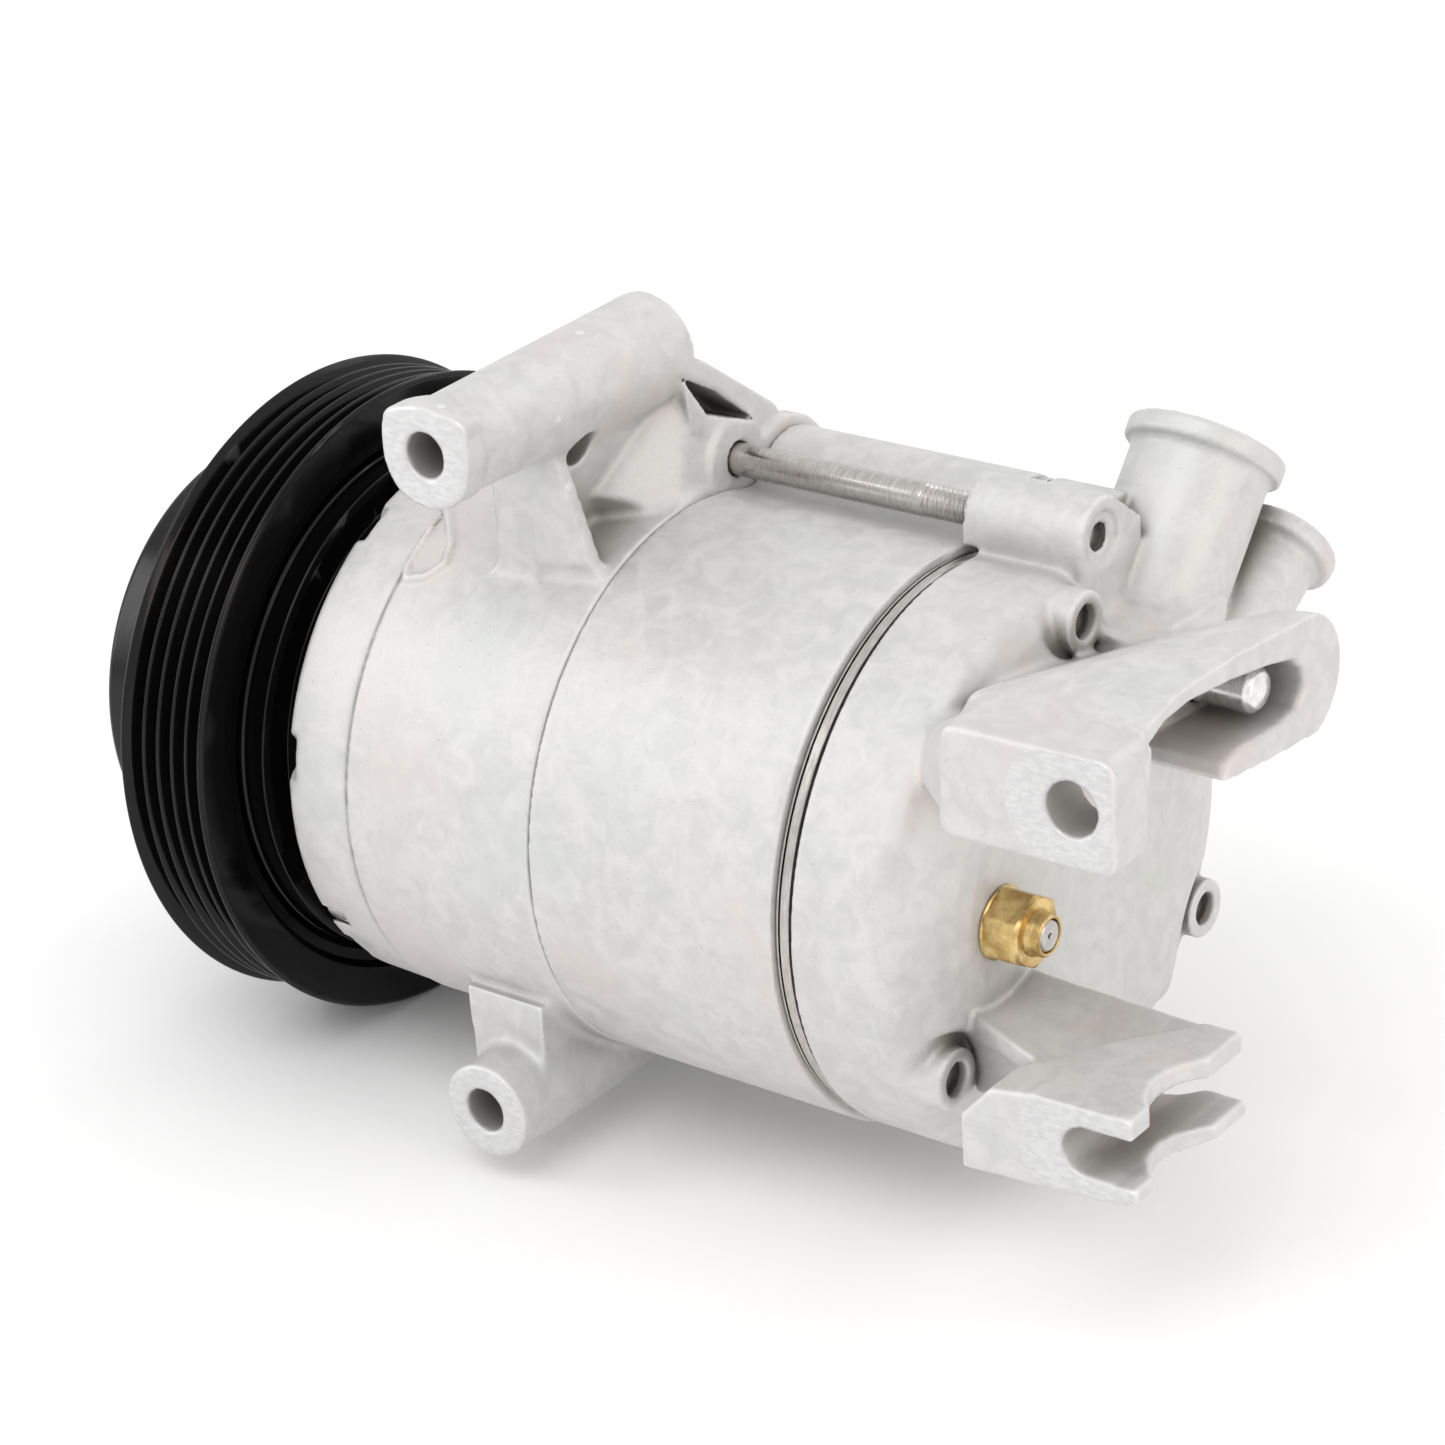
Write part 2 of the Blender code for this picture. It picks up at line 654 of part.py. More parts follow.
def port_bore(x, degrees, radius, low, high):
    return radial_body("bore", [(low, 0), (low, radius), (high, radius), (high, 0)], x, degrees, 24)


def fork_slot():
    start = arc((REAR_MOUNT_X + 0.6, FORK_MOUNT_Z), FORK_SLOT_R, 90, 270, 8)
    return start + [(214.0, FORK_MOUNT_Z - FORK_SLOT_R), (214.0, FORK_MOUNT_Z + FORK_SLOT_R)]


def peg_cutter():
    return rod("hole", PEG_R + GAP, POCKET_X - 10.0, POCKET_X + 1.0, 12, origin=(0, PEG_Y, PEG_Z))


def build_pocket_plug():
    start = POCKET_X - 10.0 + GAP
    profile = [(start, 0), (start, PEG_R), (196.4, PEG_R), (197.6, 3.0), (197.8, 0)]
    plug = lathe("pocket_plug", profile, (0, PEG_Y, PEG_Z), segments=16)
    finish(plug, "pocket_plug", "bright_steel")


# ---------------------------------------------------------------- plates and seals


def plate_blank(name, low, high, gallery=True):
    """A disc with a lobe that covers the gallery, holed for the through bolts."""
    plate = rod(name, 51.2, low, high, 32)
    if gallery:
        join(plate, rod("lobe", GALLERY_R - 0.4, low, high, 20, origin=(0, GALLERY_Y, GALLERY_Z)))
    return carve(plate, *bolt_holes(low - 1, high + 1))


def flap_cutters(low, high, radius_from_axis, inner, outer):
    """Round holes over the bores and, when inner is not 0, C-shaped slots that free a flap."""
    cutters = []
    for degrees in bore_angles():
        y, z = polar(radius_from_axis, degrees)
        if inner:
            slot = prism("slot", c_outline(inner, outer, degrees), low - 1, high + 1)
            slot.location = Vector((0, y, z)) * MM
            cutters.append(slot)
        else:
            cutters.append(drill("hole", outer, low - 1, high + 1, 7, origin=(0, y, z)))
    return cutters


def c_outline(inner, outer, degrees):
    """A C-shaped slot whose opening faces the given angle."""
    outer_arc = arc((0, 0), outer, degrees + 50, degrees + 310, 4)
    return outer_arc + arc((0, 0), inner, degrees + 310, degrees + 50, 4)


def star_outline():
    """A six-tongued reed whose tongues cover the discharge holes."""
    points = []
    for degrees in bore_angles():
        points.append(polar(11.0, degrees - 26))
        for spread, radius in ((-10.5, 23.0), (-6.0, 26.2), (6.0, 26.2), (10.5, 23.0)):
            points.append(polar(radius, degrees + spread))
        points.append(polar(11.0, degrees + 26))
    return points


def build_plates():
    suction = plate_blank("suction_reed", 132.0, 132.4)
    carve(suction, *flap_cutters(132.0, 132.4, 38.5, 4.3, 5.1))
    carve(suction, *flap_cutters(132.0, 132.4, 23.0, 0, 2.6))
    plate = plate_blank("valve_plate", 132.7, 134.5)
    carve(plate, *flap_cutters(132.7, 134.5, 38.5, 0, 3.2))
    carve(plate, *flap_cutters(132.7, 134.5, 23.0, 0, 2.6))
    reed = prism("discharge_reed", star_outline(), 134.8, 135.1)
    for obj, slot in ((suction, "dark_steel"), (plate, "bright_steel"), (reed, "dark_steel")):
        clean(obj)
        finish(obj, obj.name, slot)
    seal = ring("housing_seal", 50.75, 51.65, FRONT_SEAM_X - 1.3, FRONT_SEAM_X + 0.1, ROUND)
    finish(seal, "housing_seal", "black_rubber")


# ---------------------------------------------------------------- bolts


def hex_head(name, across, low, high, origin):
    """A hexagonal head; across is the distance over its flats."""
    return rod(name, across / math.sqrt(3), low, high, 6, origin=origin)


def build_bolts():
    for number, degrees in enumerate(bolt_angles(), 1):
        y, z = polar(THROUGH_BOLT_CIRCLE_R, degrees)
        head = rod("head", 5.6, 22.4, 27.2, 16, origin=(0, y, z))
        carve(head, hex_head("socket", 6.0, 20.0, 25.0, (0, y, z)))
        join(head, rod("shank", THROUGH_BOLT_R, 26.0, BOSS_FACE_X - 2.6, TINY_ROUND, origin=(0, y, z)))
        finish(head, f"through_bolt_{number}", "bright_steel")
    at = (0, TIE_BOLT_Y, TIE_BOLT_Z)
    tie = hex_head("tie_bolt", 10.0, 50.8, 56.6, at)
    join(tie, rod("shank", TIE_BOLT_R, 56.0, 153.6, 16, origin=at))
    finish(tie, "tie_bolt", "bright_steel")


# ---------------------------------------------------------------- pulley and clutch


def groove_profile():
    """Points across the belt face, from the front flange to the rear flange."""
    points = []
    half = GROOVE_COUNT * GROOVE_PITCH / 2
    points.append((-half - 0.5, PULLEY_R))
    for i in range(GROOVE_COUNT):
        start = -half + i * GROOVE_PITCH
        middle = start + GROOVE_PITCH / 2
        points.append((start + (0.1 if i == 0 else 0.0), GROOVE_CREST_R))
        points.append((middle, GROOVE_BOTTOM_R))
    points.append((half - 0.1, GROOVE_CREST_R))
    points.append((half + 0.5, PULLEY_R))
    return points


def build_pulley():
    profile = [(FRICTION_FACE_X, BEARING_OUTER_R + GAP), (FRICTION_FACE_X, 51.5), (-10.9, 54.5)]
    profile += [(-10.3, 61.8), (-9.9, PULLEY_R)]
    profile += groove_profile()
    profile += [(9.9, PULLEY_R), (PULLEY_HALF_WIDTH, 61.8), (PULLEY_HALF_WIDTH, 54.6)]
    profile += [(8.6, 53.6), (8.6, COIL_CAVITY_R), (-8.4, COIL_CAVITY_R), (-8.4, SLEEVE_OUTER_R)]
    profile += [(9.2, SLEEVE_OUTER_R), (9.2, BEARING_OUTER_R + GAP)]
    pulley = lathe("pulley", profile)
    finish(pulley, "pulley", "black_paint", (0, 0, 0))


def build_bearing():
    half = BEARING_HALF_WIDTH
    outer = lathe("bearing_outer_ring", race(24.2, BEARING_OUTER_R, 1.1, half), segments=INNER_ROUND)
    finish(outer, "bearing_outer_ring", "bright_steel", (0, 0, 0))
    inner = lathe("bearing_inner_ring", race(20.8, BEARING_INNER_R, -1.1, half), segments=INNER_ROUND)
    finish(inner, "bearing_inner_ring", "bright_steel")
    balls = ring("bearing_balls", 20.2, 24.8, -2.8, 2.8, INNER_ROUND)
    finish(balls, "bearing_balls", "bright_steel", (0, 0, 0))
    clip = ring("bearing_snap_ring", 15.7, 20.0, -10.7, -9.3, 20)
    carve(clip, box("gap", (-12, -1.6, 10), (-8, 1.6, 25)))
    finish(clip, "bearing_snap_ring", "dark_steel")


def race(track, back, groove, half):
    """A bearing ring's section with a shallow ball track at its middle."""
    return [
        (-half, back), (-half, track), (-3.2, track), (-3.2, track + groove),
        (3.2, track + groove), (3.2, track), (half, track), (half, back),
    ]


def build_coil():
    profile = [
        (-7.9, 33.8), (-7.9, 36.3), (11.5, 36.3), (11.5, 47.6), (-7.9, 47.6), (-7.9, 50.2),
        (14.0, 50.2), (14.0, 44.0), (20.6, 44.0), (20.6, 24.5), (16.2, 24.5), (16.2, 33.8),
    ]
    coil = lathe("field_coil", profile, segments=INNER_ROUND)
    y, z = polar(LEAD_R, LEAD_DEG)
    carve(coil, drill("lead_hole", 1.6, 9.0, 30.0, TINY_ROUND, origin=(0, y, z)))
    clean(coil)
    finish(coil, "field_coil", "black_paint")
    winding = ring("coil_winding", 37.1, 46.6, -6.6, 11.1, INNER_ROUND)
    finish(winding, "coil_winding", "copper_winding")
    clip = ring("coil_snap_ring", 22.95, 27.6, 14.4, 15.6, 20)
    carve(clip, box("gap", (10, -1.8, 10), (20, 1.8, 30)))
    finish(clip, "coil_snap_ring", "dark_steel")
    build_coil_lead()


def build_coil_lead():
    """The winding's lead, bent round the edge of the nose, and its plug."""
    frame = axis_frame((0, 0, 0), (1, 0, 0))
    y, z = polar(1.0, LEAD_DEG)
    path = [(11.5, LEAD_R), (15.4, LEAD_R), (17.4, 48.0), (17.6, 55.0), (19.4, 58.0), (27.0, 58.4)]
    points = [Vector((x, r * y, r * z)) for x, r in path]
    lead = sweep("coil_lead", points, 1.25, 8)
    finish(lead, "coil_lead", "black_rubber")
    outline = rounded([(-6, -4.5), (6, -4.5), (6, 4.5), (-6, 4.5)], 1.5, 2)
    plug = prism("coil_connector", outline, 27.3, 45.0)
    carve(plug, box("socket", (39.0, -4.4, -3.0), (50.0, 4.4, 3.0)))
    turn = Matrix.Rotation(math.radians(LEAD_DEG - 90), 4, "X")
    plug.data.transform(turn)
    plug.data.transform(Matrix.Translation(Vector((0, y, z)) * 58.4 * MM))
    finish(plug, "coil_connector", "black_plastic")


def sweep(name, points, radius, segments):
    """A round bar that follows a list of points."""
    verts = []
    count = len(points)
    side = Vector((1, 0, 0)).cross(points[-1] - Vector((0, 0, 0))).normalized()
    for i, point in enumerate(points):
        along = points[min(i + 1, count - 1)] - points[max(i - 1, 0)]
        up = along.cross(side).normalized()
        for k in range(segments):
            a = math.tau * k / segments
            verts.append(point + radius * (math.cos(a) * side + math.sin(a) * up))
    faces = [tuple(range(segments)), tuple(range(len(verts) - segments, len(verts)))]
    for i in range(count - 1):
        here = range(i * segments, (i + 1) * segments)
        faces += ring_faces(here, range(here.stop, here.stop + segments), segments)
    return mesh_object(name, verts, faces)


def build_clutch():
    hub = lathe("clutch_hub", [
        (-29.6, 6.3), (-29.6, 11.0), (-31.4, 11.6), (-31.4, 19.6), (-22.6, 19.6), (-22.6, 17.0),
        (-26.4, 17.0), (-26.4, 10.8), (-14.0, 10.8), (-14.0, 6.3),
    ], segments=INNER_ROUND)
    finish(hub, "clutch_hub", "dark_steel", (0, 0, 0))
    nut = hex_head("hub_nut", 14.0, -35.6, -30.0, (0, 0, 0))
    carve(nut, drill("hole", 4.9, -40, -20, 16))
    finish(nut, "hub_nut", "bright_steel", (0, 0, 0))
    damper = ring("damper_ring", 19.9, 26.9, -31.0, -23.0, INNER_ROUND)
    finish(damper, "damper_ring", "black_rubber", (0, 0, 0))
    pan = lathe("hub_pan", [
        (-32.4, 27.3), (-32.4, 41.2), (-33.2, 42.4), (-32.2, 43.4), (-18.6, 43.4), (-17.0, 45.6),
        (-17.0, 33.0), (-19.2, 33.0), (-19.2, 41.0), (-29.8, 41.0), (-29.8, 29.6), (-23.0, 29.6),
        (-23.0, 27.3),
    ], segments=INNER_ROUND)
    finish(pan, "hub_pan", "black_paint", (0, 0, 0))
    face = FRICTION_FACE_X - AIR_GAP
    plate = ring("armature_plate", 29.0, 49.5, -16.7, face, 32)
    carve(plate, *armature_slots())
    clean(plate)
    finish(plate, "armature_plate", "dark_steel", (0, 0, 0))


def armature_slots():
    """Three arc-shaped slots through the armature plate."""
    cutters = []
    for start in (10, 130, 250):
        outline = arc((0, 0), 40.4, start, start + 90, 8) + arc((0, 0), 38.2, start + 90, start, 8)
        cutters.append(prism("slot", outline, -20.0, -10.0))
    return cutters


# ---------------------------------------------------------------- shaft and swash plate


def build_shaft():
    shaft = lathe("drive_shaft", [
        (-36.6, 0), (-36.6, 4.0), (-36.0, 4.6), (-24.0, 4.6), (-23.6, 6.0), (-13.6, 6.0),
        (-13.2, SHAFT_R), (108.0, SHAFT_R), (109.0, 6.0), (109.0, 0),
    ], segments=20)
    finish(shaft, "drive_shaft", "bright_steel", (0, 0, 0))
    rotor = lathe("rotor_plate", [
        (ROTOR_X, 7.3), (ROTOR_X, 36.5), (ROTOR_X + 1.5, 38.0), (46.5, 38.0), (ROTOR_END_X, 33.0),
        (ROTOR_END_X, 7.3),
    ], segments=32)
    arm_side = [(44.0, 15.0), (44.0, 24.2), (56.6, 24.2), (58.2, 21.0), (55.0, 15.6)]
    for side in (-1, 1):
        low, high = sorted((side * 4.3, side * 8.3))
        join(rotor, prism("arm", arm_side, low, high, "Y"))
    carve(rotor, drill_y("hole", 2.6, 54.4, 21.0, -12, 12, 12))
    clean(rotor)
    finish(rotor, "rotor_plate", "dark_steel", (0, 0, 0))
    pin = rod_y("hinge_pin", 2.3, 54.4, 21.0, -9.0, 9.0, 12)
    finish(pin, "hinge_pin", "bright_steel", (0, 0, 0))
    build_swash_plate()
    thrust = ring("thrust_bearing", 14.0, 24.0, 36.3, 39.3, 20)
    finish(thrust, "thrust_bearing", "bright_steel", (0, 0, 0))
    spring = coil_spring("destroke_spring", 9.2, 0.6, 50.0, 57.4, 3, 10)
    finish(spring, "destroke_spring", "bright_steel", (0, 0, 0))


def build_swash_plate():
    low = SWASH_X - SWASH_HALF_THICKNESS
    high = SWASH_X + SWASH_HALF_THICKNESS
    swash = lathe("swash_plate", [
        (58.2, 7.5), (58.2, 13.5), (low, 16.5), (low, SWASH_R - 0.7), (low + 0.7, SWASH_R),
        (high - 0.7, SWASH_R), (high, SWASH_R - 0.7), (high, 16.5), (70.5, 14.5), (70.5, 7.5),
    ], segments=36)
    arm = prism("arm", [(52.0, 18.4), (52.0, 23.6), (62.0, 24.8), (62.0, 15.5), (56.0, 18.0)], -4.0, 4.0, "Y")
    join(swash, arm)
    carve(swash, drill_y("hole", 2.6, 54.4, 21.0, -12, 12, 12))
    clean(swash)
    finish(swash, "swash_plate", "dark_steel", (0, 0, 0))


def coil_spring(name, radius, wire, low, high, turns, steps=10, origin=(0, 0)):
    """A helical spring with an end run out flat, of square-section wire."""
    points = []
    total = turns * steps
    for i in range(total + 1):
        a = math.tau * i / steps
        x = low + wire + (high - low - 2 * wire) * i / total
        points.append((x, a))
    verts = []
    for x, a in points:
        for dx, dr in ((-wire, -wire), (wire, -wire), (wire, wire), (-wire, wire)):
            r = radius + dr
            verts.append((x + dx * 0.95, origin[0] + r * math.cos(a), origin[1] + r * math.sin(a)))
    faces = [(0, 1, 2, 3), tuple(range(len(verts) - 4, len(verts)))]
    for i in range(total):
        here = range(4 * i, 4 * i + 4)
        faces += ring_faces(here, range(here.stop, here.stop + 4), 4)
    return mesh_object(name, verts, faces)


def build_pistons():
    for number, degrees in enumerate(bore_angles(), 1):
        build_piston(number, degrees)
        for end, sign in (("front", -1), ("rear", 1)):
            build_shoe(f"shoe_{end}_{number}", degrees, sign)


def build_piston(number, degrees):
    """A piston whose open bridge reaches over the rim of the swash plate."""
    profile = [
        (52.6, 0), (52.6, PISTON_R), (126.2, PISTON_R), (126.2, 14.4), (127.8, 14.4),
        (127.8, PISTON_R), (131.2, PISTON_R), (131.2, 0),
    ]
    piston = lathe("piston", profile, segments=16)
    slot_half = SWASH_HALF_THICKNESS + 0.6
    reach = SWASH_R + 0.9 - BORE_CIRCLE_R
    slot = box("slot", (SWASH_X - slot_half, -30, -30), (SWASH_X + slot_half, 30, reach))
    leg = box("leg", (40.0, -30, -30), (SWASH_X, 30, -7.0))
    carve(piston, slot, leg)
    pocket = shoe_ball("pocket", SHOE_SPHERE_R + GAP + 0.5)
    carve(piston, pocket)
    clean(piston)
    turn = Matrix.Rotation(math.radians(degrees - 90), 4, "X")
    y, z = polar(BORE_CIRCLE_R, degrees)
    piston.data.transform(turn)
    piston.data.transform(Matrix.Translation(Vector((0, y, z)) * MM))
    finish(piston, f"piston_{number}", "machined_aluminium")


def shoe_ball(name, radius):
    profile = []
    steps = 6
    for i in range(steps + 1):
        a = math.pi * i / steps
        profile.append((SWASH_X - radius * math.cos(a), max(radius * math.sin(a), 0.0)))
    profile[0] = (profile[0][0], 0)
    profile[-1] = (profile[-1][0], 0)
    return lathe(name, profile, segments=12)


def build_shoe(name, degrees, sign):
    """A dome with its flat side against the swash plate."""
    flat = SWASH_HALF_THICKNESS + GAP
    start = math.asin(flat / SHOE_SPHERE_R)
    profile = [(SWASH_X + sign * flat, 0)]
    for i in range(4):
        a = start + (math.pi / 2 - start) * i / 3
        radius = SHOE_SPHERE_R * math.cos(a) if i < 3 else 0
        profile.append((SWASH_X + sign * SHOE_SPHERE_R * math.sin(a), radius))
    y, z = polar(BORE_CIRCLE_R, degrees)
    shoe = lathe("shoe", profile, (0, y, z), segments=10)
    finish(shoe, name, "dark_steel")


def build_bearings_and_seal():
    lip = [(-4.0, 13.7), (4.1, 13.7), (4.1, 9.4), (1.0, 7.3), (-1.2, 7.3), (-4.0, 9.0)]
    seal = lathe("shaft_seal", lip, segments=20)
    finish(seal, "shaft_seal", "black_rubber")
    front = ring("front_needle_bearing", 7.4, 11.6, 12.4, 28.0, 20)
    finish(front, "front_needle_bearing", "bright_steel")
    rear = ring("rear_needle_bearing", 7.4, 11.6, 88.0, 104.0, 20)
    finish(rear, "rear_needle_bearing", "bright_steel")


# ---------------------------------------------------------------- valves


def build_relief_valve():
    at = (0, RELIEF_Y, RELIEF_Z)
    body = hex_head("relief_valve_body", 12.0, END_FACE_X + GAP, END_FACE_X + 7.4, at)
    join(body, rod("collar", 4.5, 152.0, END_FACE_X + 10.0, 16, origin=at, phase=0.1))
    carve(body, drill("bore", 3.0, 154.0, 180.0, 14, origin=at))
    carve(body, drill("inlet", 1.6, 148.0, 156.0, 8, origin=at))
    finish(body, "relief_valve_body", "valve_brass")
    poppet = lathe("relief_poppet", [
        (154.3, 0), (154.3, 2.6), (156.6, 2.6), (156.6, 1.2), (160.0, 1.2), (160.0, 0),
    ], at, segments=12)
    finish(poppet, "relief_poppet", "bright_steel", at)
    spring = coil_spring("relief_spring", 2.05, 0.3, 156.9, 169.0, 4, 8, (RELIEF_Y, RELIEF_Z))
    finish(spring, "relief_spring", "bright_steel")
    plug = ring("relief_plug", 1.0, 2.6, 169.3, 172.0, 12, origin=at)
    finish(plug, "relief_plug", "dark_steel")


def build_control_valve():
    profile = [
        (-1.5, 0), (-1.5, 4.5), (10.0, 5.2), (10.0, CONTROL_R), (14.0, CONTROL_R), (15.0, 6.4),
        (20.0, 6.4), (21.0, CONTROL_R), (32.5, CONTROL_R), (32.5, 5.0), (35.0, 5.0), (35.0, 0),
    ]
    at = (CONTROL_X, 0, CONTROL_Z)
    valve = lathe("control_valve", profile, at, (0, 1, 0), 14)
    finish(valve, "control_valve", "bright_steel")
    clip = ring("control_valve_ring", 5.4, 7.5, 33.0, 34.0, 16, origin=at, direction=(0, 1, 0))
    finish(clip, "control_valve_ring", "dark_steel")


def settle():
    """Moves the assembly so that the origin is the middle of its underside."""
    for obj in bpy.data.objects:
        obj.location += Vector(UNDERSIDE_SHIFT) * MM


def main():
    clear_scene()
    build_front_housing()
    build_cylinder_block()
    build_rear_head()
    build_pocket_plug()
    build_plates()
    build_bolts()
    build_pulley()
    build_bearing()
    build_coil()
    build_clutch()
    build_shaft()
    build_pistons()
    build_bearings_and_seal()
    build_relief_valve()
    build_control_valve()
    settle()


main()
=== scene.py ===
"""Looks of the air-conditioning compressor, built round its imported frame. Lengths are millimetres."""
import math

import bmesh
import bpy
import numpy as np
from mathutils import Euler, Matrix, Vector
from mathutils.geometry import tessellate_polygon


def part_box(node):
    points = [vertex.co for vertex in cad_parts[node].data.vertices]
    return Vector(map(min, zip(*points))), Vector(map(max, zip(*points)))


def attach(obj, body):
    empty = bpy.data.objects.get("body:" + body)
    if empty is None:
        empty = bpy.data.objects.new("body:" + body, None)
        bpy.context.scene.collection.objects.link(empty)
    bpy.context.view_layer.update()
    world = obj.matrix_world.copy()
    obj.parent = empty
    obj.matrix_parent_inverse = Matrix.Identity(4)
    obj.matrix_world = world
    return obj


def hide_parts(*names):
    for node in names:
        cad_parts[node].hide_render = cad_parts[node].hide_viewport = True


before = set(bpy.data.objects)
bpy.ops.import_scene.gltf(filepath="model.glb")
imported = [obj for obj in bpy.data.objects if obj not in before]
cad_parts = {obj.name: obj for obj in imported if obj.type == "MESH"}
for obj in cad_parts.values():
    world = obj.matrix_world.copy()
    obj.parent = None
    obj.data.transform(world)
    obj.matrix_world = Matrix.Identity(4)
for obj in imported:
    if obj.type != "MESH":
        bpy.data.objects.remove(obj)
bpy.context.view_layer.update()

MM = 0.001
STEP = 0.6
MARGIN = 6.0
FAR = 60.0
AROUND = 160
AROUND_SMALL = 56
PULLEY_BACK_X = 10.3

# Camera and the point that the lamps face, in metres from the shaft point
CAMERA_AT = (0.51531, -0.53822, 0.32781)
CAMERA_TURN_DEG = (65.254, 3.467, 37.203)
CAMERA_LENS = 104.17
LIT_POINT = (0.08, 0.0, 0.0)
WHITE = (1.0, 1.0, 1.0)

# Floor and castings: X runs along the shaft, Y and Z are measured from it
FLOOR_Z = -62.6
NOSE_X = 21.0
STEP_X = 36.4
FRONT_SEAM_X = 79.0
BLOCK_X = 79.3
DECK_X = 131.7
HEAD_X = 135.4
END_X = 162.0
BOSS_X = 160.8
BOSS_R = 5.5
CASE_R = 52.6
WALL_R = 49.3
HEAD_R = 51.9
MOUNT_Y = -56.0
RAW_Y = MOUNT_Y - 2.0
MOUNT_X = 66.8
TOP_Z = 78.0
LOW_Z = -48.2
REAR_X = 194.8
EAR_Z = 43.8
FORK_Z = -17.0
PAD_X, PAD_R = REAR_X - 1.5, 10.6
BOLT_CIRCLE_R = 46.0
BOLT_DEG = (87.5, 207.5, 327.5)
BOLT_HOLE_R = 3.8
TIE = (14.7, 55.8)
TIE_HOLE_R = 3.3
TIE_BOSS_R = 7.4
SCOOP_R = 26.0
GALLERY = (29.0, 46.5)
GALLERY_R = 10.8
RELIEF = (-28.6, 3.4)
PEG = (-3.0, 43.6)
CONTROL = (145.6, -37.5)
POCKET_X = 186.0
PORT_X, PORT_DEG = 154.2, 49.0
SIDE_X, SIDE_DEG = 162.0, 30.7
LEAD_R, LEAD_DEG = 45.9, 42.4
PLUG_R = 58.4
BORE_CIRCLE_R, BORE_R, FIRST_BORE_DEG = 33.4, 15.6, -3.0

belt_low, belt_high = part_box("pulley")
SHAFT_AT = (belt_low + belt_high) / 2
SHAFT_AT.x = belt_high.x - PULLEY_BACK_X * MM


# ---------------------------------------------------------------- distances


def smooth_min(a, b, k):
    """The lesser of two distances, blended where they differ by less than k."""
    if k <= 0:
        return np.minimum(a, b)
    h = np.maximum(k - np.abs(a - b), 0.0)
    return np.minimum(a, b) - h * h / (4 * k)


def smooth_max(a, b, k):
    return -smooth_min(-a, -b, k)


def outline_distance(u, v, points):
    """Signed distance to a closed outline, negative inside."""
    best = None
    inside = False
    for (ua, va), (ub, vb) in zip(points, points[1:] + points[:1]):
        eu, ev = ub - ua, vb - va
        length = eu * eu + ev * ev
        if length < 1e-12:
            continue
        wu, wv = u - ua, v - va
        t = np.clip((wu * eu + wv * ev) / length, 0, 1)
        gap = (wu - eu * t) ** 2 + (wv - ev * t) ** 2
        best = gap if best is None else np.minimum(best, gap)
        if ev:
            inside = inside ^ (((va > v) != (vb > v)) & (wu < eu / ev * wv))
    return np.where(inside, -1.0, 1.0) * np.sqrt(best)


def turned_shape(origin, direction, profile):
    """A solid turned about an axis from (along, radius) points that start and end on the axis."""
    o = Vector(origin)
    d = Vector(direction).normalized()
    reach = max(r for _, r in profile)
    ends = [o + d * profile[0][0], o + d * profile[-1][0]]
    ends += [o + d * a for a, _ in profile]
    spread = [reach * math.sqrt(max(0.0, 1 - c * c)) for c in d]
    low = [min(e[i] for e in ends) - spread[i] for i in range(3)]
    high = [max(e[i] for e in ends) + spread[i] for i in range(3)]
    deep = [(profile[0][0], -FAR)] + list(profile) + [(profile[-1][0], -FAR)]

    def distance(x, y, z):
        px, py, pz = x - o.x, y - o.y, z - o.z
        along = px * d.x + py * d.y + pz * d.z
        radial = np.sqrt(np.maximum(px * px + py * py + pz * pz - along * along, 0))
        return outline_distance(along, radial, deep)

    return low, high, distance


def rod(radius, low, high, origin=(0, 0, 0), direction=(1, 0, 0), far=None):
    """A round bar, or a cone when its far radius is given."""
    return turned_shape(origin, direction, [(low, radius), (high, radius if far is None else far)])


def rod_y(radius, x, z, low, high, far=None):
    return rod(radius, low, high, (x, 0, z), (0, 1, 0), far)


def prism(points, low, high, axis="X"):
    """An outline in the other two coordinates, pushed along X or Y."""
    us = [p[0] for p in points]
    vs = [p[1] for p in points]
    if axis == "X":
        corners = (low, min(us), min(vs)), (high, max(us), max(vs))
    else:
        corners = (min(us), low, min(vs)), (max(us), high, max(vs))

    def distance(x, y, z):
        along, u = (x, y) if axis == "X" else (y, x)
        return np.maximum(outline_distance(u, z, points), np.maximum(low - along, along - high))

    return corners[0], corners[1], distance


def box(low, high, radius):
    """A block with round edges."""
    middle = [(a + b) / 2 for a, b in zip(low, high)]
    half = [(b - a) / 2 - radius for a, b in zip(low, high)]

    def distance(x, y, z):
        gaps = [np.abs(c - m) - h for c, m, h in zip((x, y, z), middle, half)]
        outside = sum(np.maximum(g, 0) ** 2 for g in gaps)
        inside = np.minimum(np.maximum(np.maximum(gaps[0], gaps[1]), gaps[2]), 0)
        return np.sqrt(outside) + inside - radius

    return low, high, distance


def hull(points, soft):
    """The smallest convex solid round the points, with its edges rounded."""
    bm = bmesh.new()
    for point in points:
        bm.verts.new(point)
    made = bmesh.ops.convex_hull(bm, input=bm.verts)
    bmesh.ops.delete(bm, geom=list(set(made["geom_interior"])), context="VERTS")
    bmesh.ops.recalc_face_normals(bm, faces=bm.faces)
    planes = []
    for face in bm.faces:
        n = face.normal.copy()
        reach = n.dot(face.verts[0].co)
        if all(n.dot(m) < 0.9999 or abs(reach - r) > 1e-3 for m, r in planes):
            planes.append((n, reach))
    bm.free()

    def distance(x, y, z):
        value = None
        for n, reach in planes:
            here = n.x * x + n.y * y + n.z * z - reach
            value = here if value is None else smooth_max(value, here, soft)
        return value

    low = [min(p[i] for p in points) for i in range(3)]
    high = [max(p[i] for p in points) for i in range(3)]
    return low, high, distance


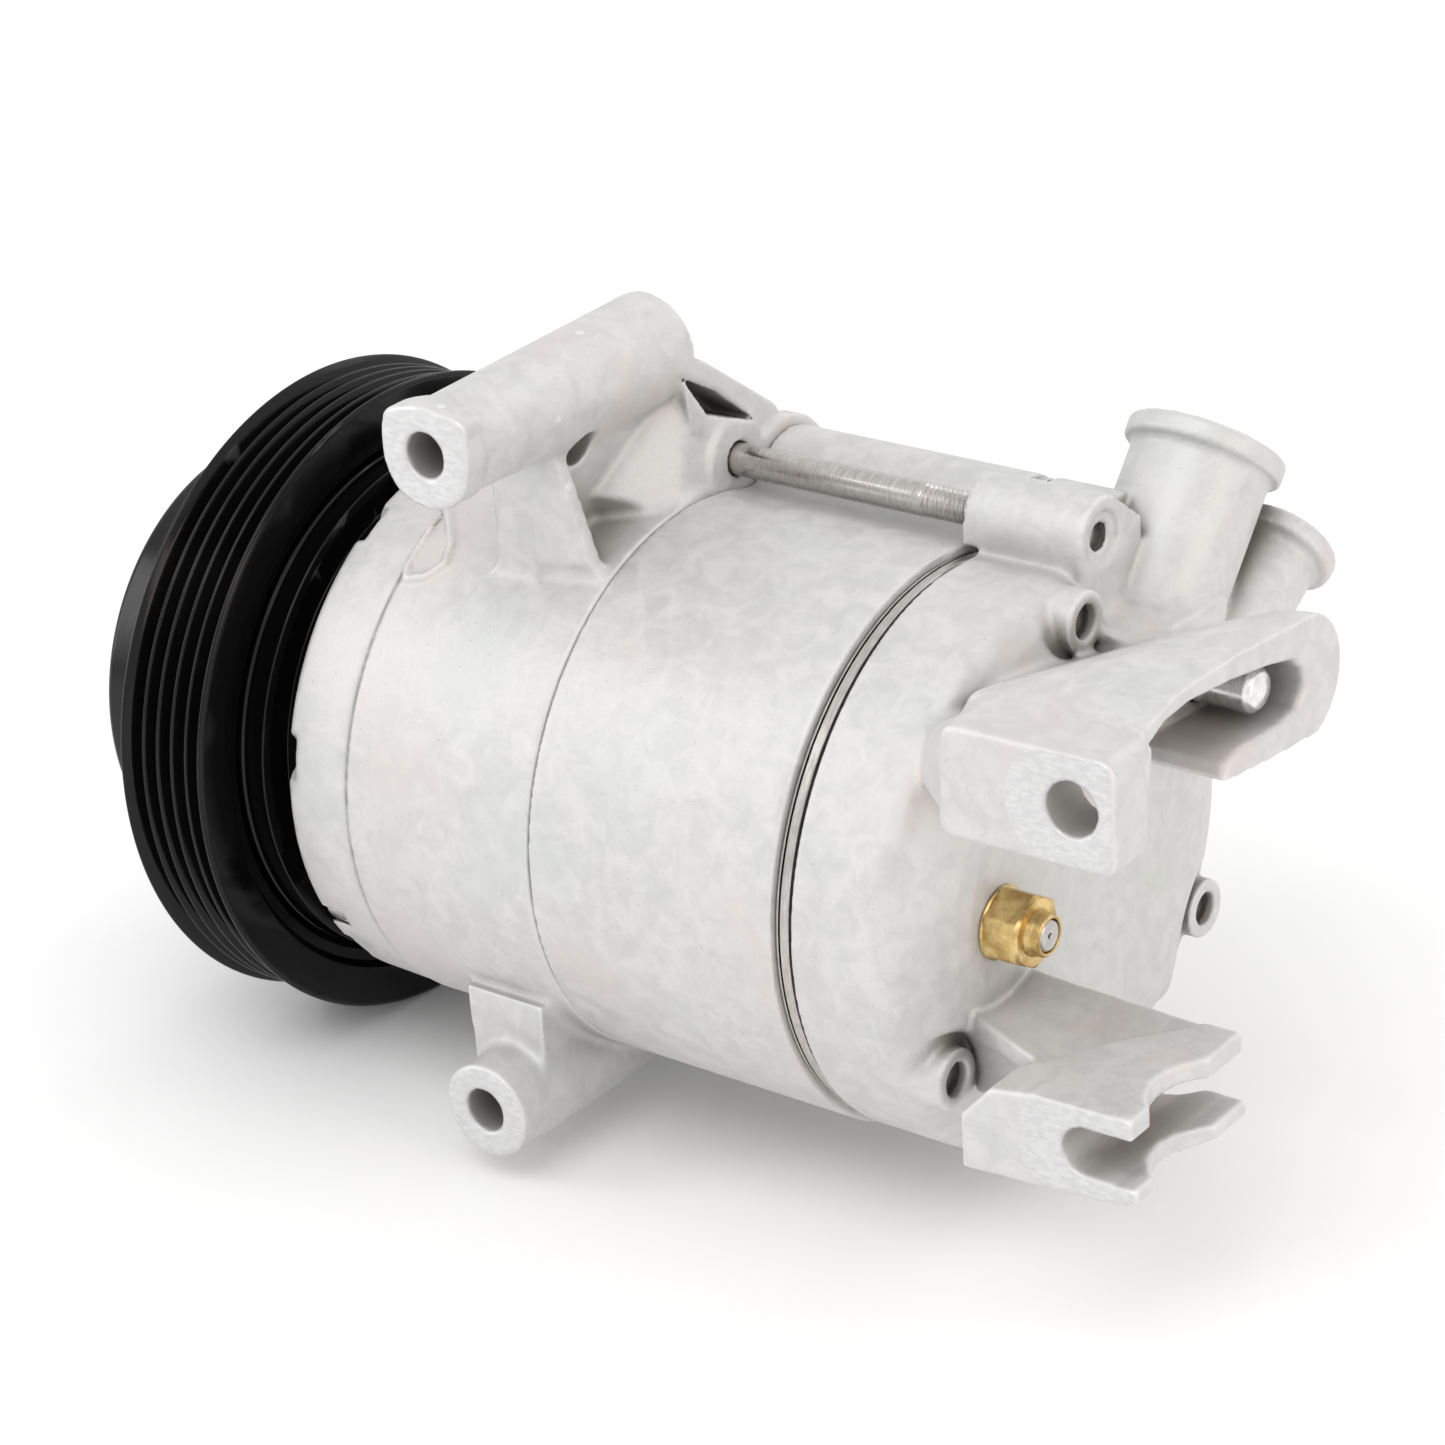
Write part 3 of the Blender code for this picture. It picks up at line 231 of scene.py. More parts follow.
def half_space(point, normal):
    """Everything on the far side of a plane from where its normal points."""
    n = Vector(normal).normalized()
    reach = n.dot(Vector(point))
    low, high = (-1e3,) * 3, (1e3,) * 3
    return low, high, lambda x, y, z: n.x * x + n.y * y + n.z * z - reach


def bead(points, radius):
    """A round bead along a chain of points."""
    def distance(x, y, z):
        value = None
        for a, b in zip(points, points[1:]):
            e = [q - p for p, q in zip(a, b)]
            w = (x - a[0], y - a[1], z - a[2])
            length = sum(c * c for c in e)
            t = np.clip(sum(c * d for c, d in zip(w, e)) / length, 0, 1)
            gap = sum((c - d * t) ** 2 for c, d in zip(w, e))
            value = gap if value is None else np.minimum(value, gap)
        return np.sqrt(value) - radius

    low = [min(p[i] for p in points) - radius for i in range(3)]
    high = [max(p[i] for p in points) + radius for i in range(3)]
    return low, high, distance


def minus(a, b, k):
    """What is left of a when b is cut from it."""
    return a[0], a[1], lambda x, y, z: smooth_max(a[2](x, y, z), -b[2](x, y, z), k)


def within(a, b, k):
    """What a and b share."""
    return a[0], a[1], lambda x, y, z: smooth_max(a[2](x, y, z), b[2](x, y, z), k)


def merged(a, b, k):
    """All that is in a or in b."""
    low = [min(p, q) for p, q in zip(a[0], b[0])]
    high = [max(p, q) for p, q in zip(a[1], b[1])]
    return low, high, lambda x, y, z: smooth_min(a[2](x, y, z), b[2](x, y, z), k)


class Field:
    """Signed distances on an even grid, negative inside the metal."""

    def __init__(self, low, high):
        self.axes = [np.arange(a, b + STEP, STEP, dtype=np.float32) for a, b in zip(low, high)]
        self.value = np.full([len(a) for a in self.axes], FAR, np.float32)

    def window(self, low, high):
        picks = []
        coords = []
        for i, axis in enumerate(self.axes):
            first = int(np.searchsorted(axis, low[i] - MARGIN))
            last = int(np.searchsorted(axis, high[i] + MARGIN))
            picks.append(slice(first, last))
            shape = [1, 1, 1]
            shape[i] = -1
            coords.append(axis[first:last].reshape(shape))
        return tuple(picks), coords

    def add(self, shape, k=2.0):
        picks, coords = self.window(shape[0], shape[1])
        here = self.value[picks]
        self.value[picks] = smooth_min(here, shape[2](*coords).astype(np.float32), k)

    def cut(self, shape, k=0.0):
        picks, coords = self.window(shape[0], shape[1])
        here = self.value[picks]
        self.value[picks] = smooth_max(here, -shape[2](*coords).astype(np.float32), k)

    def keep(self, shape, k=0.0):
        x, y, z = (a.reshape(s) for a, s in zip(self.axes, ((-1, 1, 1), (1, -1, 1), (1, 1, -1))))
        self.value = smooth_max(self.value, shape[2](x, y, z).astype(np.float32), k)

    def surface(self):
        """Points and quads of the zero surface, one point in each crossed cell."""
        v = self.value
        inside = v < 0
        counts = sum(
            inside[i:v.shape[0] - 1 + i, j:v.shape[1] - 1 + j, k:v.shape[2] - 1 + k].astype(np.int8)
            for i in (0, 1) for j in (0, 1) for k in (0, 1)
        )
        cells = np.argwhere((counts > 0) & (counts < 8))
        index = np.full(counts.shape, -1, np.int32)
        index[tuple(cells.T)] = np.arange(len(cells))
        corners = [(i, j, k) for i in (0, 1) for j in (0, 1) for k in (0, 1)]
        values = {c: v[tuple((cells + c).T)] for c in corners}
        total = np.zeros((len(cells), 3))
        found = np.zeros(len(cells))
        for c in corners:
            for axis in range(3):
                if c[axis]:
                    continue
                d = tuple(n + (i == axis) for i, n in enumerate(c))
                a, b = values[c], values[d]
                crossed = (a < 0) != (b < 0)
                t = np.where(crossed, a / np.where(crossed, a - b, 1), 0)
                for i in range(3):
                    total[:, i] += crossed * (c[i] + (t if i == axis else 0))
                found += crossed
        points = np.array([a[0] for a in self.axes]) + STEP * (cells + total / found[:, None])
        quads = [self.crossings(inside, index, axis) for axis in range(3)]
        return points, np.concatenate(quads)

    def crossings(self, inside, index, axis):
        """The quads round the grid edges along one axis that the surface crosses."""
        one, two = [i for i in range(3) if i != axis]
        first = [slice(1, -1)] * 3
        second = [slice(1, -1)] * 3
        first[axis] = slice(0, -1)
        second[axis] = slice(1, None)
        a, b = inside[tuple(first)], inside[tuple(second)]
        at = np.argwhere(a != b)
        outward = a[tuple(at.T)]
        base = at.copy()
        base[:, one] += 1
        base[:, two] += 1
        ring = []
        for du, dv in ((-1, -1), (0, -1), (0, 0), (-1, 0)):
            cell = base.copy()
            cell[:, one] += du
            cell[:, two] += dv
            ring.append(index[tuple(cell.T)])
        quads = np.stack(ring, axis=1)
        flip = outward if axis == 1 else ~outward
        quads[flip] = quads[flip][:, ::-1]
        return quads


# ---------------------------------------------------------------- outlines


def polar(radius, degrees):
    """The point at a radius from the origin and an angle from the first of two axes."""
    a = math.radians(degrees)
    return radius * math.cos(a), radius * math.sin(a)


def arc(centre, radius, start, end, steps):
    points = []
    for i in range(steps + 1):
        u, v = polar(radius, start + (end - start) * i / steps)
        points.append((centre[0] + u, centre[1] + v))
    return points


def soften(points, radius, steps=4):
    """A closed outline with a small curve in place of each corner."""
    made = []
    for i, corner in enumerate(points):
        here = Vector(corner)
        before = Vector(points[i - 1]) - here
        after = Vector(points[(i + 1) % len(points)]) - here
        start = here + before.normalized() * min(radius, 0.45 * before.length)
        end = here + after.normalized() * min(radius, 0.45 * after.length)
        for k in range(steps + 1):
            t = k / steps
            made.append(tuple((1 - t) ** 2 * start + 2 * t * (1 - t) * here + t * t * end))
    return made


# ---------------------------------------------------------------- materials


class Look:
    """A procedural material; its patterns are measured in millimetres on the piece itself."""

    def __init__(self, name):
        self.mat = bpy.data.materials.new(name)
        self.mat.use_nodes = True
        self.tree = self.mat.node_tree
        self.shader = self.tree.nodes["Principled BSDF"]
        self.place = self.tree.nodes.new("ShaderNodeTexCoord").outputs["Object"]
        self.height = None

    def link(self, a, b):
        self.tree.links.new(a, b)

    def scaled(self, stretch=(1, 1, 1)):
        node = self.tree.nodes.new("ShaderNodeMapping")
        node.inputs["Scale"].default_value = [s / MM for s in stretch]
        self.link(self.place, node.inputs["Vector"])
        return node.outputs["Vector"]

    def noise(self, scale, detail=4.0, rough=0.55, stretch=(1, 1, 1), warp=0.0):
        node = self.tree.nodes.new("ShaderNodeTexNoise")
        node.inputs["Scale"].default_value = scale
        node.inputs["Detail"].default_value = detail
        node.inputs["Roughness"].default_value = rough
        node.inputs["Distortion"].default_value = warp
        self.link(self.scaled(stretch), node.inputs["Vector"])
        return node.outputs["Fac"]

    def cells(self, scale):
        node = self.tree.nodes.new("ShaderNodeTexVoronoi")
        node.inputs["Scale"].default_value = scale
        self.link(self.scaled(), node.inputs["Vector"])
        return node.outputs["Distance"]

    def span(self, value, low, high, to_low=0.0, to_high=1.0):
        node = self.tree.nodes.new("ShaderNodeMapRange")
        node.interpolation_type = "SMOOTHSTEP"
        for key, number in zip(("From Min", "From Max", "To Min", "To Max"), (low, high, to_low, to_high)):
            node.inputs[key].default_value = number
        self.link(value, node.inputs["Value"])
        return node.outputs["Result"]

    def math(self, kind, a, b):
        node = self.tree.nodes.new("ShaderNodeMath")
        node.operation = kind
        for socket, value in zip(node.inputs, (a, b)):
            if isinstance(value, (int, float)):
                socket.default_value = value
            else:
                self.link(value, socket)
        return node.outputs[0]

    def mix(self, share, a, b):
        node = self.tree.nodes.new("ShaderNodeMix")
        node.data_type = "RGBA"
        sockets = [s for s in node.inputs if s.type == "RGBA"]
        for socket, value in zip(sockets, (a, b)):
            if isinstance(value, tuple):
                socket.default_value = (*value, 1.0)
            else:
                self.link(value, socket)
        self.link(share, node.inputs["Factor"])
        return [s for s in node.outputs if s.type == "RGBA"][0]

    def occlusion_shade(self, reach):
        # Painted shade: how much nearby surfaces hide a point, within the reach in millimetres.
        node = self.tree.nodes.new("ShaderNodeAmbientOcclusion")
        node.samples = 6
        node.only_local = True
        node.inputs["Distance"].default_value = reach * MM
        return node.outputs["AO"]

    def edges(self):
        return self.tree.nodes.new("ShaderNodeNewGeometry").outputs["Pointiness"]

    def bump(self, height, strength, distance):
        node = self.tree.nodes.new("ShaderNodeBump")
        node.inputs["Strength"].default_value = strength
        node.inputs["Distance"].default_value = distance * MM
        self.link(height, node.inputs["Height"])
        if self.height is not None:
            self.link(self.height, node.inputs["Normal"])
        self.height = node.outputs["Normal"]

    def done(self, colour, rough, metallic, specular=0.5):
        """Wires up the shader and returns the finished material."""
        self.link(colour, self.shader.inputs["Base Color"])
        if isinstance(rough, float):
            self.shader.inputs["Roughness"].default_value = rough
        else:
            self.link(rough, self.shader.inputs["Roughness"])
        self.shader.inputs["Metallic"].default_value = metallic
        self.shader.inputs["Specular IOR Level"].default_value = specular
        if self.height is not None:
            self.link(self.height, self.shader.inputs["Normal"])
        return self.mat


def milled_share(look):
    """One on the flat mounting faces, up to the round ends of the two rear pads, and zero elsewhere."""
    place = look.tree.nodes.new("ShaderNodeSeparateXYZ")
    look.link(look.place, place.inputs[0])
    metres = [look.math("SUBTRACT", c, start) for c, start in zip(place.outputs, SHAFT_AT)]
    x, y, z = (look.math("DIVIDE", c, MM) for c in metres)
    flat = look.span(y, MOUNT_Y + 0.06, MOUNT_Y + 0.40, 1.0, 0.0)
    upper = look.math("GREATER_THAN", z, 0.0)
    centre_z = look.math("ADD", look.math("MULTIPLY", upper, EAR_Z - FORK_Z), FORK_Z)
    across = look.math("POWER", look.math("SUBTRACT", z, centre_z), 2.0)
    along = look.math("POWER", look.math("MAXIMUM", look.math("SUBTRACT", PAD_X, x), 0.0), 2.0)
    near = look.math("LESS_THAN", look.math("ADD", across, along), PAD_R ** 2)
    front = look.math("LESS_THAN", x, HEAD_X)
    return look.math("MULTIPLY", flat, look.math("MAXIMUM", near, front))


def cast_look():
    look = Look("sand_cast_aluminium")
    light, dark = (0.655, 0.65, 0.64), (0.555, 0.555, 0.55)
    broad = look.noise(0.035, 3)
    mottle = look.noise(0.22, 6, 0.62, warp=0.6)
    grain = look.noise(1.7, 5, 0.6)
    pits = look.span(look.cells(0.42), 0.0, 0.13)
    colour = look.mix(look.span(mottle, 0.30, 0.70), dark, light)
    colour = look.mix(look.span(broad, 0.50, 0.68, 0.0, 0.55), colour, (0.63, 0.575, 0.55))
    colour = look.mix(look.span(broad, 0.47, 0.30, 0.0, 0.45), colour, (0.565, 0.59, 0.55))
    colour = look.mix(look.span(grain, 0.60, 0.78, 0.0, 0.4), colour, (0.40, 0.40, 0.385))
    colour = look.mix(look.span(pits, 1.0, 0.0, 0.0, 0.35), colour, (0.28, 0.28, 0.265))
    # Painted shade: deep pockets and hollows darkened to a brownish grey, from ambient occlusion over 16 mm.
    painted_pocket_shade = look.span(look.occlusion_shade(16.0), 0.85, 0.25, 0.0, 0.8)
    colour = look.mix(painted_pocket_shade, colour, (0.27, 0.25, 0.23))
    # Painted shade: creases and corners darkened, from ambient occlusion over 4 mm.
    painted_crevice_shade = look.span(look.occlusion_shade(4.0), 0.90, 0.30, 0.0, 0.7)
    colour = look.mix(painted_crevice_shade, colour, (0.20, 0.20, 0.18))
    # Colour made lighter on sharp edges.
    lighter_edges = look.span(look.edges(), 0.52, 0.58, 0.0, 0.65)
    colour = look.mix(lighter_edges, colour, (0.80, 0.80, 0.80))
    share = milled_share(look)
    cutter_marks = look.noise(1.0, 4, 0.6, (0.5, 1, 1.4))
    milled = look.mix(look.span(cutter_marks, 0.35, 0.7), (0.58, 0.58, 0.58), (0.68, 0.68, 0.68))
    colour = look.mix(share, colour, milled)
    look.bump(mottle, 0.22, 0.3)
    look.bump(grain, 0.35, 0.12)
    look.bump(pits, 0.4, 0.12)
    rough = look.span(mottle, 0.3, 0.7, 0.42, 0.58)
    rough = look.math("SUBTRACT", rough, look.math("MULTIPLY", share, 0.15))
    return look.done(colour, rough, 0.35)


def machined_look(name, light, dark, stretch, rough=(0.2, 0.38), metallic=0.9):
    look = Look(name)
    lines = look.noise(1.0, 4, 0.6, stretch)
    cloud = look.noise(0.12, 4)
    colour = look.mix(look.span(lines, 0.35, 0.68), dark, light)
    colour = look.mix(look.span(cloud, 0.5, 0.75, 0.0, 0.35), colour, tuple(0.78 * c for c in light))
    look.bump(lines, 0.25, 0.06)
    return look.done(colour, look.span(cloud, 0.3, 0.7, *rough), metallic)


def paint_look():
    look = Look("gloss_black_paint")
    peel = look.noise(0.6, 3)
    dust = look.noise(2.8, 6, 0.7)
    cloud = look.noise(0.06, 4)
    black, dusty = (0.0022, 0.0022, 0.0025), (0.03, 0.029, 0.028)
    colour = look.mix(look.span(dust, 0.64, 0.82, 0.0, 0.25), black, dusty)
    # Painted highlight: groove crests and sharp edges made lighter grey.
    lighter_edges = look.span(look.edges(), 0.53, 0.62, 0.0, 0.4)
    colour = look.mix(lighter_edges, colour, (0.10, 0.10, 0.105))
    look.bump(peel, 0.12, 0.08)
    look.bump(dust, 0.08, 0.03)
    return look.done(colour, look.span(cloud, 0.3, 0.7, 0.10, 0.20), 0.0, 0.28)


def rubber_look(name, tone, rough):
    look = Look(name)
    grain = look.noise(1.6, 5, 0.65)
    cloud = look.noise(0.15, 3)
    colour = look.mix(look.span(cloud, 0.35, 0.7), tone, tuple(c * 2.2 for c in tone))
    look.bump(grain, 0.3, 0.12)
    return look.done(colour, look.span(grain, 0.3, 0.7, *rough), 0.0, 0.4)


def brass_look():
    look = Look("machined_brass")
    cloud = look.noise(0.25, 5, 0.6)
    lines = look.noise(1.0, 4, 0.6, (3.5, 0.6, 0.6))
    colour = look.mix(look.span(cloud, 0.35, 0.7), (0.46, 0.30, 0.10), (0.80, 0.60, 0.27))
    colour = look.mix(look.span(lines, 0.55, 0.75, 0.0, 0.4), colour, (0.92, 0.78, 0.48))
    # Painted shade: creases and corners darkened to dark brown, from ambient occlusion over 2 mm.
    painted_crevice_shade = look.span(look.occlusion_shade(2.0), 0.9, 0.3, 0.0, 0.6)
    colour = look.mix(painted_crevice_shade, colour, (0.20, 0.14, 0.06))
    look.bump(lines, 0.3, 0.08)
    return look.done(colour, look.span(cloud, 0.3, 0.7, 0.22, 0.42), 0.95)


def winding_look():
    look = Look("enamelled_copper")
    turns = look.tree.nodes.new("ShaderNodeTexWave")
    turns.bands_direction = "X"
    turns.inputs["Scale"].default_value = 0.42
    turns.inputs["Distortion"].default_value = 0.3
    look.link(look.scaled(), turns.inputs["Vector"])
    fac = turns.outputs["Fac"]
    colour = look.mix(fac, (0.20, 0.07, 0.03), (0.62, 0.27, 0.12))
    look.bump(fac, 0.8, 0.3)
    return look.done(colour, look.span(look.noise(0.5), 0.3, 0.7, 0.3, 0.5), 0.7)


LOOKS = {
    "cast_aluminium": cast_look(),
    "machined_aluminium": machined_look(
        "turned_aluminium", (0.88, 0.88, 0.88), (0.72, 0.72, 0.72), (2.4, 0.6, 0.6),
    ),
    "bright_steel": machined_look(
        "bright_steel_ground", (0.60, 0.575, 0.555), (0.45, 0.43, 0.41), (3.2, 0.4, 0.4), (0.20, 0.34), 1.0,
    ),
    "dark_steel": machined_look(
        "phosphated_steel", (0.20, 0.20, 0.21), (0.09, 0.09, 0.10), (1, 1, 1), (0.35, 0.55),
    ),
    "black_paint": paint_look(),
    "black_rubber": rubber_look("moulded_rubber", (0.012, 0.012, 0.012), (0.55, 0.8)),
    "valve_brass": brass_look(),
    "copper_winding": winding_look(),
    "black_plastic": rubber_look("moulded_plastic", (0.018, 0.018, 0.02), (0.35, 0.5)),
}


# ---------------------------------------------------------------- pieces


def add_piece(name, mesh, body, nodes, slot):
    """Puts a mesh in the scene on its body, in place of its CAD nodes."""
    obj = bpy.data.objects.new(name, mesh)
    bpy.context.scene.collection.objects.link(obj)
    obj.data.materials.append(LOOKS[slot])
    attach(obj, body)
    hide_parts(*nodes)
    return obj


def mesh_of(name, verts, faces, smooth_deg=30):
    mesh = bpy.data.meshes.new(name)
    mesh.from_pydata([Vector(v) * MM + SHAFT_AT for v in verts], [], faces)
    bm = bmesh.new()
    bm.from_mesh(mesh)
    bmesh.ops.remove_doubles(bm, verts=bm.verts, dist=1e-7)
    bmesh.ops.recalc_face_normals(bm, faces=bm.faces)
    bm.to_mesh(mesh)
    bm.free()
    mesh.polygons.foreach_set("use_smooth", [True] * len(mesh.polygons))
    mesh.set_sharp_from_angle(angle=math.radians(smooth_deg))
    return mesh


def skin(rings):
    """The quads between each ring of points and the next."""
    faces = []
    for a, b in zip(rings, rings[1:]):
        for i in range(len(a)):
            j = (i + 1) % len(a)
            faces.append((a[i], a[j], b[j], b[i]))
    return faces


def axis_frame(origin, direction):
    turn = Vector((1, 0, 0)).rotation_difference(Vector(direction).normalized())
    return Matrix.Translation(Vector(origin)) @ turn.to_matrix().to_4x4()


def turned(
    name, profile, body, nodes, slot, origin=(0, 0, 0), direction=(1, 0, 0), around=AROUND, soft=0.4,
):
    """A closed (along, radius) profile turned about an axis, its corners eased."""
    place = axis_frame(origin, direction)
    verts = []
    rings = []
    for along, radius in soften(profile, soft):
        rings.append(range(len(verts), len(verts) + around))
        for i in range(around):
            verts.append(place @ Vector((along, *polar(max(radius, 0.0), 360 * i / around))))
    obj = add_piece(name, mesh_of(name, verts, skin(rings + rings[:1])), body, nodes, slot)
    obj.modifiers.new("weighted", "WEIGHTED_NORMAL").keep_sharp = True
    return obj


def plate(name, outline, holes, low, high, body, nodes, slot, ease=0.15):
    """A flat plate with holes, its outer edges slightly eased."""
    loops = [outline] + holes
    verts = []
    rings = []
    for x, shrink in ((low, ease), (low + ease, 0), (high - ease, 0), (high, ease)):
        level = []
        for index, loop in enumerate(loops):
            moved = inset(loop, -shrink if index else shrink)
            level.append(range(len(verts), len(verts) + len(moved)))
            verts += [(x, y, z) for y, z in moved]
        rings.append(level)
    faces = [face for levels in zip(*rings) for face in skin(levels)]
    flat = [i for loop in rings[0] for i in loop]
    shapes = [[Vector((verts[i][1], verts[i][2], 0)) for i in loop] for loop in rings[0]]
    last = [i for loop in rings[-1] for i in loop]
    for triangle in tessellate_polygon(shapes):
        faces.append(tuple(flat[i] for i in triangle))
        faces.append(tuple(last[i] for i in reversed(triangle)))
    return add_piece(name, mesh_of(name, verts, faces), body, nodes, slot)


def inset(loop, distance):
    """The loop moved towards its own middle."""
    if not distance:
        return loop
    cy = sum(p[0] for p in loop) / len(loop)
    cz = sum(p[1] for p in loop) / len(loop)
    made = []
    for y, z in loop:
        reach = math.hypot(y - cy, z - cz)
        share = 1 - distance / reach
        made.append((cy + (y - cy) * share, cz + (z - cz) * share))
    return made


def field_piece(name, field, body, nodes, slot="cast_aluminium", turn=Euler(), shift=(0, 0, 0)):
    """The surface of a field as a smooth piece."""
    points, quads = field.surface()
    mesh = bpy.data.meshes.new(name)
    mesh.vertices.add(len(points))
    placed = (points @ np.array(turn.to_matrix()).T + np.array(shift)) * MM + np.array(SHAFT_AT)
    mesh.vertices.foreach_set("co", placed.astype(np.float32).ravel())
    mesh.loops.add(quads.size)
    mesh.loops.foreach_set("vertex_index", quads.astype(np.int32).ravel())
    mesh.polygons.add(len(quads))
    mesh.polygons.foreach_set("loop_start", np.arange(0, quads.size, 4, dtype=np.int32))
    mesh.polygons.foreach_set("use_smooth", np.ones(len(quads), bool))
    mesh.update(calc_edges=True)
    mesh.validate()
    return add_piece(name, mesh, body, nodes, slot)


# ---------------------------------------------------------------- castings


def bolt_rods(radius, low, high):
    """A bar on the line of each case bolt."""
    return [rod(radius, low, high, (0, *polar(BOLT_CIRCLE_R, deg))) for deg in BOLT_DEG]


def front_mounts(f):
    """The two mounting tubes, the web and ribs under the upper one, and the tie bolt's boss."""
    face = soften([
        (57.9, 83.6), (60.0, 86.4), (76.4, 86.6), (76.8, 82.0), (75.2, 72.0), (68.5, 69.2), (60.0, 71.0),
    ], 5.0)
    f.add(prism(face, RAW_Y, MOUNT_Y + 5.0, "Y"), 0)
    f.add(rod_y(8.7, MOUNT_X, TOP_Z, RAW_Y, 6.0, 10.4), 2.5)
    f.add(rod_y(9.6, MOUNT_X, TOP_Z, 4.0, 9.6, 6.4), 1.5)
    f.add(hull([
        (57, -27.5, 74), (73.4, -27.5, 74), (56, -27, 46), (64.5, -27, 46), (57, 8, 78),
        (73.4, 8, 78), (56, 16, 46), (64.5, 16, 46),
    ], 0.5), 2.0)
    f.add(hull([
        (57, -28.5, 72), (71.5, -28.5, 72), (56, -27.4, 46), (76.0, -26.0, 49.6), (77.4, -23.6, 45.0),
        (57, -25.6, 72), (71.5, -25.6, 72), (56, -22, 44.6), (76.0, -22.6, 49.0),
    ], 0.3), 0.6)
    f.add(hull([
        (66, -17, 57.5), (66, -8, 64), (66, -3, 69.6), (66, 10, 76), (60, -12, 44.6), (78.6, -2, 50),
        (74, 6, 74.4), (76.5, 12, 67), (78.3, 20, 62.6), (78.3, 22, 44.6), (62, 22, 44.6), (71, -12.4, 56.2),
    ], 0.6), 1.0)
    rib = [(70.6, 5, 78.4), (70, -2, 75), (69.2, -8, 71), (67, -12, 66), (64.8, -18.6, 58.4)]
    f.add(bead(rib, 1.4), 0.5)
    f.add(hull([
        (64, 4, 78), (77, 2, 77.4), (64, 9, 77.6), (77, 8, 76.6), (64, 28, 62.6), (78, 28, 61.8),
        (64, 33, 50), (78, 33, 50), (64, 8, 62), (77, 4, 64),
    ], 0.5), 1.2)
    f.add(rod(TIE_BOSS_R, 57.0, 78.2, (0, *TIE)), 2.0)
    f.add(rod(GALLERY_R, 60.0, 82.0, (0, *GALLERY)), 3.0)
    f.add(rod(GALLERY_R + 1.8, 74.6, 82.0, (0, *GALLERY)), 1.5)
    f.cut(prism([(2.2, 75.0), (8.6, 66.0), (21.0, 61.0), (11.6, 69.4)], 68.5, 90.0), 0.4)
    f.add(rod_y(9.1, MOUNT_X, LOW_Z, RAW_Y, -7.0), 0)
    f.add(prism([(57.2, -54.5), (72.6, -54.5), (73.4, -30), (56.0, -30)], -46.0, -9.0, "Y"), 2.5)


def front_field():
    f = Field((18.6, MOUNT_Y - 3, -60.0), (81.4, 55.4, 91.0))
    front_mounts(f)
    f.add(rod(CASE_R, STEP_X + 0.3, 90.0), 2.6)
    f.cut(rod(54.5, 10.0, STEP_X + 0.3), 0)
    loop = [
        (36.0, 109.6), (39.5, 113.5), (43.2, 118.4), (44.6, 123), (42.2, 126.6), (38.4, 128), (37.2, 125.6),
        (36.8, 116),
    ]
    f.add(bead([(x, *polar(CASE_R, deg)) for x, deg in loop], 0.9), 0.3)
    shell = [
        (NOSE_X, 49.8), (NOSE_X + 1.4, 51.9), (STEP_X - 0.5, 52.3), (STEP_X - 0.1, 51.4),
        (STEP_X + 4.0, 51.0),
    ]
    f.add(turned_shape((0, 0, 0), (1, 0, 0), shell), 0)
    f.cut(turned_shape((0, 0, 0), (1, 0, 0), [(36.0, 47.8), (37.5, WALL_R), (90.0, WALL_R)]), 0.8)
    f.cut(rod(24.2, 10.0, NOSE_X + 0.9), 0)
    f.cut(rod(12.0, 10.0, 50.0), 0)
    for deg in (117, 169, 221, 273, 325):
        f.cut(rod(4.2, NOSE_X - 4, NOSE_X + 2.6, (0, *polar(52.5, deg))), 0.8)
    for hole in bolt_rods(BOLT_HOLE_R, 10.0, 90.0) + bolt_rods(6.0, 10.0, 27.5):
        f.cut(hole, 0)
    f.cut(rod_y(4.1, MOUNT_X + 0.4, TOP_Z + 0.5, -70, 20), 0.3)
    f.cut(rod_y(4.2, MOUNT_X - 0.3, LOW_Z, -70, 0), 0.3)
    f.cut(rod(3.3, 50.0, 80.0, (0, -21.0, 68.8)), 0.5)
    f.cut(rod(TIE_HOLE_R, 40.0, 90.0, (0, *TIE)), 0.4)
    f.cut(rod(6.2, 40.0, 56.9, (0, *TIE)), 0.4)
    f.keep(half_space((0, MOUNT_Y, 0), (0, -1, 0)), 0.5)
    f.keep(half_space((FRONT_SEAM_X, 0, 0), (1, 0, 0)), 0.5)
    return f


def block_field():
    f = Field((77.6, -55.0, -55.0), (133.4, 55.0, 60.0))
    f.add(rod(CASE_R, 60.0, 150.0), 0)
    f.add(rod(GALLERY_R, 60.0, 150.0, (0, *GALLERY)), 4.0)
    f.cut(rod(WALL_R, 60.0, 86.0), 0.8)
    f.cut(rod(12.0, 70.0, 112.0), 0.4)
    for i in range(6):
        centre = polar(BORE_CIRCLE_R, FIRST_BORE_DEG + 60 * i)
        f.cut(rod(BORE_R, 60.0, 150.0, (0, *centre)), 0.3)
    for hole in bolt_rods(BOLT_HOLE_R, 60.0, 150.0):
        f.cut(hole, 0)
    f.keep(half_space((BLOCK_X, 0, 0), (-1, 0, 0)), 0.5)
    f.keep(half_space((DECK_X, 0, 0), (1, 0, 0)), 0.5)
    return f


def radial(profile, x, deg):
    """A turned shape that stands out from the shaft line at x, at an angle from the Y axis."""
    return turned_shape((x, 0, 0), (0, *polar(1.0, deg)), profile)


